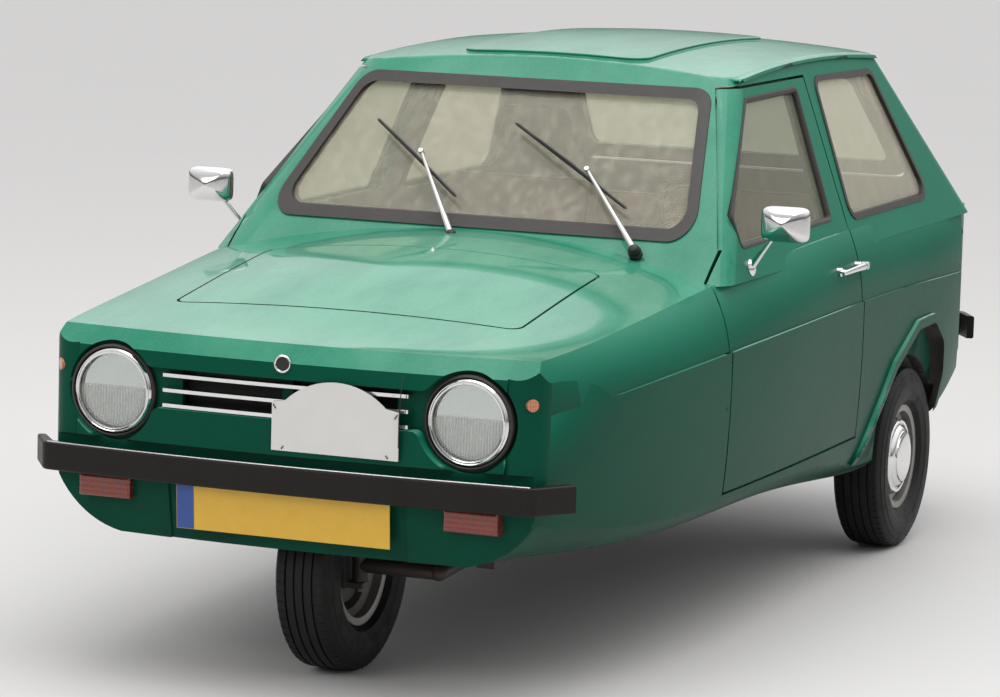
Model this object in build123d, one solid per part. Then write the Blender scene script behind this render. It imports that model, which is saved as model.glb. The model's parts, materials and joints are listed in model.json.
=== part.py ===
from build123d import *
from functools import lru_cache
import math
import os

# Small two-door fibreglass car with one steered wheel in front and two driven wheels behind.
# Millimetres, +Z up, the front faces -Y, +X is the car's left, the origin is on the ground at mid length.

# Overall stance
WHEELBASE = 2159
FRONT_WHEEL_Y = -1292
REAR_WHEEL_Y = FRONT_WHEEL_Y + WHEELBASE
TYRE_RADIUS = 245
TYRE_WIDTH = 142
RIM_RADIUS = 127
RIM_LIP_RADIUS = 140
REAR_HALF_TRACK = 617

# Body mouldings
NOSE_Y = -1646
TAIL_Y = 1616
NOSE_BOW = 4350
TAIL_BOW = 3000
NOSE_HALF_WIDTH = 590
NOSE_CORNER = 70
TAIL_HALF_WIDTH = 628
TAIL_CORNER = 75
CREASE_TOP_Z = 724
CREASE_TOP_Y = 300
CREASE_BOW = 31300
CREASE_STEP = 8
BODY_WALL = 60
BAY_WALL = 14
NOSE_WALL = 53
BULKHEAD_Y = -650
BULKHEAD_WALL = 18
TAIL_WALL = 45

# Greenhouse: flat screens and side glass leaning in, under a domed roof
BELT_Z = 905
BELT_HALF_WIDTH = 659
SIDE_LEAN = 0.375
SCREEN_FOOT_Y = -611.6
SCREEN_LEAN = 1.1006
HATCH_FOOT_Y = 1507
HATCH_LEAN = 1.088
GLASSHOUSE_CORNER = 92
GLASSHOUSE_WALL = 38
ROOF_PEAK_Y = 450
ROOF_PEAK_Z = 1364
ROOF_CROWN_ACROSS = 4400
ROOF_CROWN_ALONG = 7600
ROOF_WALL = 26
ROOF_EDGE = 32
ROOF_PANEL_RISE = 8
ROOF_PANEL = [(-250, -96), (250, -96), (250, 850), (-250, 850)]
GUTTER_Y = (-128, 1018)
GUTTER_PROUD = 7
GUTTER_DROP = (3, 10)
REAR_CORNER = 180
REAR_CORNER_FALL = 0.207

# Panel gaps
DOOR_GAP = 7
LID_GAP = 6
SLIP = 0.3

# Body sections from nose to tail:
# y, z bottom, half-width bottom, z sill, half-width sill, half-width crease,
# z shoulder, half-width shoulder, z crown
BODY_SECTIONS = [
    (-1690, 315, 395, 445, 556, 580, 780, 550, 784),
    (-1178, 308, 520, 388, 645, 657, 816, 615, 863),
    (-718, 303, 600, 370, 685, 692, 857, 640, 934),
    (300, 266, 640, 352, 697, 703, 905, 662, 950),
    (1000, 285, 640, 354, 694, 700, 900, 660, 950),
    (1350, 395, 620, 450, 680, 688, 888, 655, 925),
    (1690, 500, 520, 540, 590, 600, 845, 572, 870),
]

# Nose and tail in side view, as (y, z)
NOSE_PROFILE = [
    (-1590, 100), (-1600, 315), (-1625, 460), (-1624, 538), (-1647, 543), (NOSE_Y, 640),
    (-1640, 748), (-1592, 797), (-1540, 850), (-1540, 1100),
]
TAIL_PROFILE = [
    (1585, 100), (1600, 480), (TAIL_Y, 560), (1592, 850), (1540, 905), (1490, 960), (1490, 1100),
]

# Side openings, as (y, z)
DOOR_OUTLINE = [
    (-648, 374), (-648, 866), (-548, 930), (-168, 1288), (366, 1288), (347, 905), (347, 374),
]
DOOR_INNER_X = 628
DOOR_GLASS = [(-455, 935), (-455, 1008), (-112, 1262), (287, 1266), (243, 941)]
QUARTER_GLASS = [(405, 940), (450, 1273), (917, 1267), (1075, 941)]
ARCH_OUTLINE = [
    (335, 250), (652, 512), (838, 597), (985, 600), (1078, 537), (1098, 451), (1050, 340), (1000, 250),
]
ARCH_FLARE = 26
FLARE_PROUD = 9
WELL_RADIUS = 276
WELL_INNER_X = 520

# Screens, as (x, z) of the lower and upper corners
WINDSCREEN_RUBBER = [(566, 950), (464, 1290)]
RUBBER_WIDTH = 26
PILLAR_LIP = 8
HATCH_OUTLINE = [(500, 948), (440, 1278)]
HATCH_THICKNESS = 30
HATCH_GLASS_INSET = 42
GLASS = 4

# Nose: lamp and grille recess, plate, bumper
LAMP_X = 432
LAMP_Z = 648
LAMP_RECESS_RADIUS = 114
LAMP_SEAT_RADIUS = 103
LAMP_RIM_RADIUS = 98
LAMP_GLASS_RADIUS = 86
LAMP_FRONT_Y = -1610
RECESS_DEPTH = 34
GRILLE_LOW_Z = 622
GRILLE_HIGH_Z = 712
GRILLE_BARS_Z = [697, 663, 629]
GRILLE_HALF_WIDTH = 298
GRILLE_HOLE_HALF_WIDTH = 262
GRILLE_WEB = 13
BAR_HEIGHT = 8
PLATE_LENGTH = 520
PLATE_HEIGHT = 110
PLATE_Z = 409
PLATE_LEAN = 7
PLATE_RECESS = 6
INDICATOR_X = [382, 511]
INDICATOR_Z = [405, 456]
BUMPER_LOW_Z = 457
BUMPER_HIGH_Z = 521
BUMPER_DEPTH = 24
BUMPER_FRONT_Y = -1663.5
BUMPER_BACK_Y = 1663.5
REAR_BUMPER_Z = (488, 552)

# Bonnet lid
BONNET_HALF_WIDTH = 425
BONNET_FRONT_Y = -1322
BONNET_BACK_Y = -816
BONNET_THICKNESS = 12
BONNET_LIP = 20

# Hinges
DOOR_HINGE_X = 684
DOOR_HINGE_Y = -639
DOOR_HINGES_Z = [470, 690]
FENDER_LIP = 2
FENDER_POCKET = 24
CREASE_CLEAR = 1.4
HINGE_PIN = 4
PIN_FIT = 0.06
BONNET_PIVOT_Y = -1465
BONNET_PIVOT_Z = 777
BONNET_ARM_X = 300
BONNET_ARM = [(0, 0), (88, -105), (142, -84), (170, 20), (172, 75)]
BONNET_ARM_WIDTH = 14
BONNET_ARM_THICK = 8
HATCH_HINGE_IN = 9
HATCH_HINGE_DEEP = 6

# Front suspension and steering
KING_X = 42
KING_PIN_RADIUS = 11
HUB_Z = TYRE_RADIUS
STUB_RADIUS = 12.5
ARM_X = 238
ARM_PIVOT_Y = -1025
ARM_PIVOT_Z = 262
ARM_RADIUS = 20
SPRING_Y = -1180
SPRING_RADIUS = 36
TOWER_Z = 560
STEER_ARM = (83, 40)
STEER_ARM_Z = 316
DROP_ARM_X = 215
DROP_ARM_Y = -900
DROP_ARM_Z = 361
BALL_RADIUS = 10
COLUMN_FOOT = (215, -870, 412)
STEERING_WHEEL_AT = (330, -190, 800)
STEERING_WHEEL_RADIUS = 180
PEDALS_X = [196, 322, 380]
COLUMN_RADIUS = 9

# Chassis, drive line and rear axle
RAIL_X = [308, 352]
RAIL_LOW_Z = 255
RAIL_HEIGHT = 70
RAIL_KICK = 85
RAIL_FRONT_Y = -1240
RAIL_BACK_Y = 1500
KICK_Y = [560, 640]
CROSS_Y = [-1005, -200, 1010]
ENGINE_CROSS_Y = [-830, -420]
ENGINE_LOW_Z = 262
ENGINE_HIGH_Z = 742
FLOOR_Z = 346
FLOOR_WALL = 10
REAR_FLOOR_Z = 416
TUNNEL_Z = 330
TUNNEL_RADIUS = 80
BELL_RADIUS = 150
TUNNEL_WALL = 8
BELL_BACK_Y = -230
ENGINE_HALF_WIDTH = 145
ENGINE_FRONT_Y = -955
ENGINE_BACK_Y = -668
GEARBOX_BACK_Y = -250
AXLE_RADIUS = 32
DIFF_RADIUS = 92
DRUM_RADIUS = 88
LEAF_WIDTH = 44
LEAF_THICKNESS = 7


def face_yz(points, x):
    return Face(Wire.make_polygon([Vector(x, y, z) for y, z in points]))


def face_xz(points, y):
    return Face(Wire.make_polygon([Vector(x, y, z) for x, z in points]))


def face_xy(points, z):
    return Face(Wire.make_polygon([Vector(x, y, z) for x, y in points]))


def rounded(face, radius):
    return face.fillet_2d(radius, face.vertices()) if radius else face


def prism_x(points, x0, x1, radius=0):
    return Solid.extrude(rounded(face_yz(points, x0), radius), Vector(x1 - x0, 0, 0))


def prism_y(points, y0, y1, radius=0):
    return Solid.extrude(rounded(face_xz(points, y0), radius), Vector(0, y1 - y0, 0))


def prism_z(points, z0, z1, radius=0):
    return Solid.extrude(rounded(face_xy(points, z0), radius), Vector(0, 0, z1 - z0))


def block(x0, x1, y0, y1, z0, z1):
    return Solid.make_box(x1 - x0, y1 - y0, z1 - z0, Plane((x0, y0, z0)))


def grow(points, amount):
    """Offset a convex outline outwards, or inwards when the amount is negative."""
    face = Face(Wire.make_polygon([Vector(a, b, 0) for a, b in points]))
    wire = face.outer_wire().offset_2d(amount, kind=Kind.INTERSECTION)
    return [(v.X, v.Y) for v in wire.order_edges().vertices()]


def shift_z(points, dy, dz=0):
    return [(y + dy, z + dz) for y, z in points]


def gathered(found):
    """The solids of a boolean result as one shape."""
    shapes = found if isinstance(found, (list, tuple)) else [found]
    solids = [solid for shape in shapes for solid in shape.solids()]
    return solids[0] if len(solids) == 1 else Compound(solids)


def common(shape, *tools):
    for tool in tools:
        shape = gathered(shape.intersect(tool))
    return shape


def cut(shape, *tools):
    return gathered(shape.cut(*[solid for tool in tools for solid in tool.solids()]))


def fused(shape, *tools):
    return gathered(shape.fuse(*[solid for tool in tools for solid in tool.solids()]))


def mirrored(shape):
    return shape.mirror(Plane.YZ)


def rod_x(x0, x1, y, z, radius):
    return Solid.make_cylinder(radius, x1 - x0, Plane((x0, y, z), z_dir=(1, 0, 0)))


def rod_y(x, y0, y1, z, radius):
    return Solid.make_cylinder(radius, y1 - y0, Plane((x, y0, z), z_dir=(0, 1, 0)))


def rod_z(x, y, z0, z1, radius):
    return Solid.make_cylinder(radius, z1 - z0, Plane((x, y, z0)))


def rod(start, end, radius):
    start = Vector(start)
    along = Vector(end) - start
    return Solid.make_cylinder(radius, along.length, Plane(start, z_dir=along))


def save(name, *solids):
    """Write one node, with all its solids as one compound."""
    found = []
    for shape in solids:
        found.extend(shape.solids())
    node = found[0] if len(found) == 1 else Compound(children=found)
    node.label = name
    export_step(node, f"parts/{name}.step")
    print(name, len(found), round(sum(s.volume for s in found) / 1e3), "cm3")
    return node


def crease_height(y):
    return CREASE_TOP_Z - (y - CREASE_TOP_Y) ** 2 / (2 * CREASE_BOW)


def bulged(a, b, sagitta):
    """An arc from a to b in one section plane, swelling outwards to the right of the run."""
    along = b - a
    out = Vector(along.Z, 0, -along.X).normalized()
    return Edge.make_three_point_arc(a, (a + b) * 0.5 + out * sagitta, b)


def section_wire(row, inset, crease_out, low, high):
    """One body section; low or high cuts it at the crease, with some to spare."""
    y, z0, w0, z1, w1, w2, z3, w3, z4 = row
    w0, w1, w2, w3 = w0 - inset, w1 - inset, w2 + crease_out - inset, w3 - inset
    z3, z4 = z3 - inset * 0.8, z4 - inset
    crease = crease_height(y)
    right = []
    if low:
        if inset > 0:
            right.append(Edge.make_line(Vector(w0, y, 150), Vector(w0, y, z0 + 6)))
            z0 = z0 + 6
        right.append(bulged(Vector(w0, y, z0), Vector(w1, y, z1), 0.11 * (w1 - w0 + 60)))
        top = Vector(w2, y, crease) if high else Vector(w2 - 2, y, crease + 40)
        right.append(bulged(Vector(w1, y, z1), top, 6))
    if high:
        if low:
            right.append(bulged(Vector(w2, y, crease), Vector(w3, y, z3), 13))
        else:
            right.append(bulged(Vector(w2 + 1, y, crease - 40), Vector(w3, y, z3), 13))
    left = [edge.mirror(Plane.YZ) for edge in right]
    first = min(right[0].start_point(), right[0].end_point(), key=lambda point: point.Z)
    last = right[-1].end_point()
    edges = right + left
    edges.append(Edge.make_line(Vector(-first.X, y, first.Z), first))
    if high:
        edges.append(Edge.make_three_point_arc(last, Vector(0, y, z4), Vector(-last.X, y, last.Z)))
    else:
        edges.append(Edge.make_line(last, Vector(-last.X, y, last.Z)))
    return Wire(edges)


@lru_cache
def body_loft(inset=0, crease_out=0, low=True, high=True):
    wires = [section_wire(row, inset, crease_out, low, high) for row in BODY_SECTIONS]
    return Solid.make_loft(wires)


def bowed(profile, axis_y):
    """Turn a side profile about an upright axis, so that the end face bows in plan."""
    points = profile + [(axis_y, profile[-1][1]), (axis_y, profile[0][1])]
    return Solid.revolve(face_yz(points, 0), 360, Axis((0, axis_y, 0), (0, 0, 1)))


def end_trim():
    """The nose and tail faces that close the body loft."""
    return common(bowed(NOSE_PROFILE, NOSE_Y + NOSE_BOW), bowed(TAIL_PROFILE, TAIL_Y - TAIL_BOW))


def plan_trim():
    """Rounded corners in plan; between the ends it is wider than the body."""
    wide = 760
    nose_side = NOSE_HALF_WIDTH
    nose_front = NOSE_Y + NOSE_HALF_WIDTH ** 2 / (2 * NOSE_BOW)
    tail_back = TAIL_Y - TAIL_HALF_WIDTH ** 2 / (2 * TAIL_BOW)
    right = [(nose_side, nose_front), (nose_side + 60, nose_front + 330), (wide, -900), (wide, 1100)]
    right += [(TAIL_HALF_WIDTH + 22, tail_back - 140), (TAIL_HALF_WIDTH, tail_back)]
    face = face_xy(right + [(-x, y) for x, y in right[::-1]], 50)
    corners = [v for v in face.vertices() if v.Y < -1500]
    face = face.fillet_2d(NOSE_CORNER, corners)
    corners = [v for v in face.vertices() if v.Y > tail_back - 1]
    face = face.fillet_2d(TAIL_CORNER, corners)
    half = nose_side - NOSE_CORNER
    front_pad = block(-half, half, NOSE_Y - 20, -1300, 50, 1100)
    half = TAIL_HALF_WIDTH - TAIL_CORNER
    back_pad = block(-half, half, 1300, TAIL_Y + 20, 50, 1100)
    return fused(Solid.extrude(face, Vector(0, 0, 1050)), front_pad, back_pad)


@lru_cache
def below_crease():
    reach = 1750
    ends = [(-reach, crease_height(-reach)), (reach, crease_height(reach))]
    edges = [
        Edge.make_three_point_arc(
            Vector(-900, ends[0][0], ends[0][1]),
            Vector(-900, CREASE_TOP_Y, CREASE_TOP_Z),
            Vector(-900, ends[1][0], ends[1][1]),
        ),
        Edge.make_line(Vector(-900, ends[1][0], ends[1][1]), Vector(-900, reach, 50)),
        Edge.make_line(Vector(-900, reach, 50), Vector(-900, -reach, 50)),
        Edge.make_line(Vector(-900, -reach, 50), Vector(-900, ends[0][0], ends[0][1])),
    ]
    return Solid.extrude(Face(Wire(edges)), Vector(1800, 0, 0))


def corners_at(face, y):
    return [v for v in face.vertices() if abs(v.Y - y) < 0.5]


def glasshouse_wire(z, inset):
    """One level of the glasshouse; its rear corners are rounder at the belt than at the roof."""
    rise = z - BELT_Z
    front = SCREEN_FOOT_Y + SCREEN_LEAN * rise + inset * math.hypot(1, SCREEN_LEAN)
    back = HATCH_FOOT_Y - HATCH_LEAN * rise - inset * math.hypot(1, HATCH_LEAN)
    half = BELT_HALF_WIDTH - SIDE_LEAN * rise - inset * math.hypot(1, SIDE_LEAN)
    rear_corner = REAR_CORNER - REAR_CORNER_FALL * rise
    face = face_xy([(-half, front), (half, front), (half, back), (-half, back)], z)
    face = face.fillet_2d(max(rear_corner - inset, 20), corners_at(face, back))
    face = face.fillet_2d(max(GLASSHOUSE_CORNER - inset, 20), corners_at(face, front))
    return face.outer_wire()


def roof_crown(inset=0):
    """The roof surface, bowed across and more gently along, with the room below it."""
    half, floor = 900, 500
    centre_z = ROOF_PEAK_Z - ROOF_CROWN_ACROSS
    radius = ROOF_CROWN_ACROSS - inset
    edge_z = centre_z + math.sqrt(radius ** 2 - half ** 2)
    y = ROOF_PEAK_Y
    outline = [(-half, edge_z), (half, edge_z), (half, floor), (-half, floor)]
    corners = [Vector(x, y, z) for x, z in outline]
    edges = [Edge.make_three_point_arc(corners[0], Vector(0, y, centre_z + radius), corners[1])]
    edges += [Edge.make_line(corners[1], corners[2]), Edge.make_line(corners[2], corners[3])]
    edges.append(Edge.make_line(corners[3], corners[0]))
    axis = Axis((0, y, ROOF_PEAK_Z - ROOF_CROWN_ALONG), (1, 0, 0))
    return Solid.revolve(Face(Wire(edges)), 24, axis).rotate(axis, -12)


@lru_cache
def glasshouse(inset=0, roof_inset=None, z0=860, z1=1400):
    """The leaning glasshouse under its domed roof, each face moved in by the inset."""
    roof_inset = inset if roof_inset is None else roof_inset
    sides = Solid.make_loft([glasshouse_wire(z0, inset), glasshouse_wire(z1, inset)], ruled=True)
    return common(sides, roof_crown(roof_inset))


def gutters():
    """A narrow lip along each side of the roof."""
    upper, lower = GUTTER_DROP
    sheet = cut(glasshouse(-GUTTER_PROUD, upper), glasshouse(-GUTTER_PROUD - 1, lower))
    ring = cut(sheet, glasshouse(ROOF_EDGE / 3, -20))
    return [common(ring, block(*sorted([side * 400, side * 700]), *GUTTER_Y, 1200, 1400)) for side in (-1, 1)]


def roof_shell():
    top = glasshouse()
    edges = [edge for edge in top.edges() if edge.bounding_box().min.Z > 1250]
    panel = prism_z(ROOF_PANEL, 1300, 1420, 60)
    panel = common(panel, roof_crown(-ROOF_PANEL_RISE))
    rim = [edge for edge in panel.edges() if edge.bounding_box().min.Z > 1320 and edge.center().Z > 1330]
    return fused(top.fillet(ROOF_EDGE, edges), panel.fillet(5, rim), *gutters())


def bay_hollow():
    inner_nose = bowed(shift_z(NOSE_PROFILE, NOSE_WALL), NOSE_Y + NOSE_BOW)
    return common(body_loft(inset=BAY_WALL), inner_nose, block(-700, 700, -1660, BULKHEAD_Y, 100, 1100))


@lru_cache
def cabin_hollow(slip=0):
    front = BULKHEAD_Y + BULKHEAD_WALL
    inner_tail = bowed(shift_z(TAIL_PROFILE, -TAIL_WALL), TAIL_Y - TAIL_BOW)
    room = common(body_loft(inset=BODY_WALL + slip), inner_tail, block(-700, 700, front, 1600, 100, 1100))
    return room


def glasshouse_hollow():
    front = BULKHEAD_Y + BULKHEAD_WALL
    return common(glasshouse(GLASSHOUSE_WALL, ROOF_WALL, z0=790), block(-700, 700, front, 1600, 100, 1400))


def face_recess():
    """The bone-shaped recess that holds both headlamps and the grille."""
    reach = (-1700, -1500)
    lamps = [rod_y(side * LAMP_X, *reach, LAMP_Z, LAMP_RECESS_RADIUS) for side in (-1, 1)]
    slot = block(-LAMP_X, LAMP_X, *reach, GRILLE_LOW_Z, GRILLE_HIGH_Z)
    bone = fused(slot, *lamps)
    joins = [edge for edge in bone.edges().filter_by(Axis.Y) if 250 < abs(edge.center().X) < 400]
    bone = bone.fillet(22, joins)
    floor = Solid.make_cylinder(NOSE_BOW - RECESS_DEPTH, 1100, Plane((0, NOSE_Y + NOSE_BOW, 100)))
    return cut(bone, floor)


def face_tools():
    """The recess with its lamp seats and grille holes, which cross both mouldings."""
    tools = [face_recess()]
    for side in (-1, 1):
        tools.append(rod_y(side * LAMP_X, -1700, LAMP_FRONT_Y + 22, LAMP_Z, LAMP_SEAT_RADIUS))
        tools.append(rod_y(side * LAMP_X, -1640, -1520, LAMP_Z, LAMP_GLASS_RADIUS + 2))
        hole_x = sorted([side * GRILLE_WEB, side * GRILLE_HOLE_HALF_WIDTH])
        tools.append(block(*hole_x, -1660, -1540, GRILLE_LOW_Z + 5, GRILLE_HIGH_Z - 5))
    return tools


def nose_openings():
    """Everything cut into the lower nose: the face recess, and the plate and indicator seats."""
    tools = face_tools()
    for side in (-1, 1):
        lamp_x = sorted([side * x for x in INDICATOR_X])
        tools.append(block(*lamp_x, -1700, -1588, *INDICATOR_Z))
    half = PLATE_LENGTH / 2 + 30
    low, high = PLATE_Z - PLATE_HEIGHT / 2 - 30, PLATE_Z + PLATE_HEIGHT / 2 + 4
    panel = prism_y([(-half, low - 60), (half, low - 60), (half, high), (-half, high)], -1700, -1500, 22)
    behind = bowed(shift_z(NOSE_PROFILE, PLATE_RECESS), NOSE_Y + NOSE_BOW)
    tools.append(cut(panel, behind))
    return tools


def arch_tools():
    """Rear wheel arches: the opening through the outer skin, and the well behind it."""
    skin = body_loft(inset=9, crease_out=CREASE_STEP)
    tools = []
    opening = prism_x(ARCH_OUTLINE, 672, 760, 40)
    round_well = rod_x(WELL_INNER_X, 760, REAR_WHEEL_Y, HUB_Z, WELL_RADIUS)
    well = common(round_well, skin)
    low_well = common(round_well, block(500, 698, 500, 1200, 0, 362))
    for tool in (opening, well, low_well):
        tools += [tool, mirrored(tool)]
    return tools


def arch_flares():
    """A raised lip around each rear arch."""
    outer = prism_x(grow(ARCH_OUTLINE, ARCH_FLARE), 680, 760, 60)
    ring = cut(outer, prism_x(ARCH_OUTLINE, 670, 770, 40))
    lip = common(ring, body_loft(inset=-FLARE_PROUD, crease_out=CREASE_STEP))
    lip = common(lip, block(680, 760, 300, 1200, 290, 700))
    return [lip, mirrored(lip)]


def door_prism(spare=0):
    outline = grow(DOOR_OUTLINE, spare) if spare else DOOR_OUTLINE
    prism = prism_x(outline, 380, 800)
    back, top = SCREEN_FOOT_Y + 70, DOOR_OUTLINE[2][1] + 20
    scuttle = block(370, DOOR_INNER_X - spare, -900, back - spare, 100, top - spare)
    return cut(prism, scuttle)


def door_pocket():
    """Room behind the thin rear edge of the nose side, where the door's front edge swings in."""
    back = DOOR_OUTLINE[0][0] - DOOR_GAP
    inner = body_loft(inset=FENDER_LIP, crease_out=CREASE_STEP)
    upper_limit = body_loft(inset=FENDER_LIP, low=False)
    zone = block(650, 720, back - FENDER_POCKET, back + 1, 366, 846)
    raised = below_crease().translate(Vector(0, 0, CREASE_CLEAR))
    low_zone = common(zone, inner, raised)
    high_zone = common(cut(zone, raised), upper_limit)
    pocket = [low_zone, high_zone]
    return pocket + [mirrored(tool) for tool in pocket]


def bonnet_prism(spare=0, z0=700):
    half = BONNET_HALF_WIDTH + spare
    points = [(-half, BONNET_FRONT_Y - spare), (half, BONNET_FRONT_Y - spare)]
    points += [(half, BONNET_BACK_Y + spare), (-half, BONNET_BACK_Y + spare)]
    return prism_z(points, z0, 1000, 30)


def hatch_prism(spare=0):
    (low_x, low_z), (high_x, high_z) = HATCH_OUTLINE
    points = [(-low_x, low_z), (low_x, low_z), (high_x, high_z), (-high_x, high_z)]
    points = grow(points, spare) if spare else points
    return prism_y(points, 980, 1620, 45)


def screen_prism(points, shrink=0):
    (low_x, low_z), (high_x, high_z) = points
    outline = [(-low_x, low_z), (low_x, low_z), (high_x, high_z), (-high_x, high_z)]
    outline = grow(outline, -shrink) if shrink else outline
    return prism_y(outline, -720, -100, 55 - shrink * 0.6)


@lru_cache
def glass_layer(outer, inner):
    """The band of side and screen wall between two depths; the roof has no part in it."""
    return cut(glasshouse(outer, roof_inset=0), glasshouse(inner, roof_inset=-60))


def upper_openings():
    tools = [door_prism(DOOR_GAP), mirrored(door_prism(DOOR_GAP))]
    tools.append(screen_prism(WINDSCREEN_RUBBER))
    tools.append(hatch_prism(LID_GAP))
    quarter = prism_x(grow(QUARTER_GLASS, 15), 380, 760, 45)
    tools += [quarter, mirrored(quarter)]
    lid_layer = cut(bonnet_prism(LID_GAP), body_loft(inset=BONNET_THICKNESS + SLIP))
    tools.append(lid_layer)
    lip = BONNET_LIP
    half = BONNET_HALF_WIDTH - lip
    tools.append(block(-half, half, BONNET_FRONT_Y - LID_GAP, BONNET_BACK_Y - lip, 700, 1000))
    return tools


def hinge_holes():
    """Holes that the hatch pins sit in."""
    y, z = hatch_axis()
    reach = HATCH_OUTLINE[1][0] + 26
    return [rod_x(-reach, reach, y, z, HINGE_PIN)]


def hatch_axis():
    top_z = HATCH_OUTLINE[1][1]
    top_y = HATCH_FOOT_Y - HATCH_LEAN * (top_z - BELT_Z)
    slope = math.hypot(1, HATCH_LEAN)
    down = (HATCH_LEAN / slope, -1 / slope)
    out = (1 / slope, HATCH_LEAN / slope)
    y = top_y + HATCH_HINGE_IN * down[0] - HATCH_HINGE_DEEP * out[0]
    z = top_z + HATCH_HINGE_IN * down[1] - HATCH_HINGE_DEEP * out[1]
    return y, z


def build_body():
    """Both mouldings with their openings, and the doors cut from the same shell."""
    trim = common(end_trim(), plan_trim())
    under = below_crease()
    lower = common(body_loft(crease_out=CREASE_STEP, high=False), trim, under)
    upper = fused(cut(common(body_loft(low=False), trim), under), roof_shell())
    hollows = [bay_hollow(), cabin_hollow(), glasshouse_hollow()]
    lower = cut(lower, *hollows)
    upper = cut(upper, *hollows)
    doors = {}
    prism = door_prism()
    doors["left"] = fused(common(lower, prism), common(upper, prism))
    lower = fused(lower, *arch_flares())
    door_cuts = [door_prism(DOOR_GAP), mirrored(door_prism(DOOR_GAP))]
    bell = rod_y(0, BULKHEAD_Y - 5, BULKHEAD_Y + BULKHEAD_WALL + 5, TUNNEL_Z, BELL_RADIUS - TUNNEL_WALL)
    column = rod(COLUMN_FOOT, STEERING_WHEEL_AT, COLUMN_RADIUS + 12)
    low_bell = block(-RAIL_X[1] - 6, RAIL_X[1] + 6, -660, -625, 150, FLOOR_Z - 8)
    lower = cut(lower, *door_cuts, *door_pocket(), *arch_tools(), *nose_openings(), bell, low_bell, column)
    upper = cut(upper, *upper_openings(), *door_pocket(), *face_tools(), *hinge_holes(), column)
    return lower, upper, doors


def finish_door(blank):
    """Cut the window, the groove for its glass, the hinge notches and the pin bores."""
    glass_hole = prism_x(DOOR_GLASS, 380, 800, 14)
    groove = common(glass_layer(12 - SLIP, 16 + SLIP), prism_x(grow(DOOR_GLASS, 8 + SLIP), 380, 800, 20))
    pillar = screen_prism(WINDSCREEN_RUBBER, -PILLAR_LIP)
    tools = [glass_hole, groove, pillar]
    edge = DOOR_OUTLINE[0][0]
    for z in DOOR_HINGES_Z:
        skin = body_loft(inset=3, crease_out=CREASE_STEP)
        notch = block(DOOR_HINGE_X - 19, 720, edge - 2, DOOR_HINGE_Y + 12, z - 13, z + 13)
        tools.append(common(notch, skin))
        tools.append(rod_z(DOOR_HINGE_X, DOOR_HINGE_Y, z - 38, z + 38, HINGE_PIN + PIN_FIT))
    return cut(blank, *tools)


def door_glass():
    return common(glass_layer(12, 16), prism_x(grow(DOOR_GLASS, 8), 380, 800, 20))


def door_hinge_set():
    """Bracket, eye and pin of each door hinge, fixed to the body."""
    jamb = DOOR_OUTLINE[0][0] - DOOR_GAP
    pieces = []
    for z in DOOR_HINGES_Z:
        pin = rod_z(DOOR_HINGE_X, DOOR_HINGE_Y, z - 36, z + 36, HINGE_PIN)
        eye = rod_z(DOOR_HINGE_X, DOOR_HINGE_Y, z - 11, z + 11, 6.5)
        inner, outer = DOOR_HINGE_X - 14, DOOR_HINGE_X - 7
        arm = block(inner, outer, jamb - FENDER_POCKET, DOOR_HINGE_Y + 4, z - 11, z + 11)
        web = block(inner, DOOR_HINGE_X, DOOR_HINGE_Y - 5, DOOR_HINGE_Y + 4, z - 11, z + 11)
        pieces.append(fused(pin, eye, arm, web))
    return pieces + [mirrored(piece) for piece in pieces]


def build_bonnet():
    skin = common(cut(body_loft(low=False), body_loft(inset=BONNET_THICKNESS)), bonnet_prism())
    return max(skin.solids(), key=lambda solid: solid.volume)


def link_plate(points, x0, x1, width):
    """A flat bar that follows the points in side view, with rounded joints."""
    bars = []
    for (y0, z0), (y1, z1) in zip(points, points[1:]):
        along = Vector(0, y1 - y0, z1 - z0)
        side = Vector(0, -along.Z, along.Y).normalized() * (width / 2)
        a, b = Vector(x0, y0, z0), Vector(x0, y1, z1)
        flat = Face(Wire.make_polygon([a - side, b - side, b + side, a + side]))
        bars.append(Solid.extrude(flat, Vector(x1 - x0, 0, 0)))
    for y, z in points:
        bars.append(rod_x(x0, x1, y, z, width / 2))
    return fused(bars[0], *bars[1:])


def bonnet_arms():
    points = [(BONNET_PIVOT_Y + y, BONNET_PIVOT_Z + z) for y, z in BONNET_ARM]
    x0 = BONNET_ARM_X - BONNET_ARM_THICK / 2
    arm = link_plate(points, x0, x0 + BONNET_ARM_THICK, BONNET_ARM_WIDTH)
    arm = fused(arm, rod_x(x0, x0 + BONNET_ARM_THICK, BONNET_PIVOT_Y, BONNET_PIVOT_Z, 9))
    arm = common(arm, body_loft(inset=BONNET_THICKNESS))
    x1 = x0 + BONNET_ARM_THICK + 1
    arm = cut(arm, rod_x(x0 - 1, x1, BONNET_PIVOT_Y, BONNET_PIVOT_Z, HINGE_PIN + PIN_FIT))
    return [arm, mirrored(arm)]


def bonnet_brackets():
    x0 = BONNET_ARM_X + BONNET_ARM_THICK / 2 + 2
    plate = block(x0, x0 + 6, BONNET_PIVOT_Y - 16, BONNET_PIVOT_Y + 16, BONNET_PIVOT_Z - 12, 900)
    plate = common(plate, body_loft(inset=BAY_WALL))
    pin = rod_x(x0 - 2 - BONNET_ARM_THICK - 3, x0 + 3, BONNET_PIVOT_Y, BONNET_PIVOT_Z, HINGE_PIN)
    bracket = fused(plate, pin)
    return [bracket, mirrored(bracket)]


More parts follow.
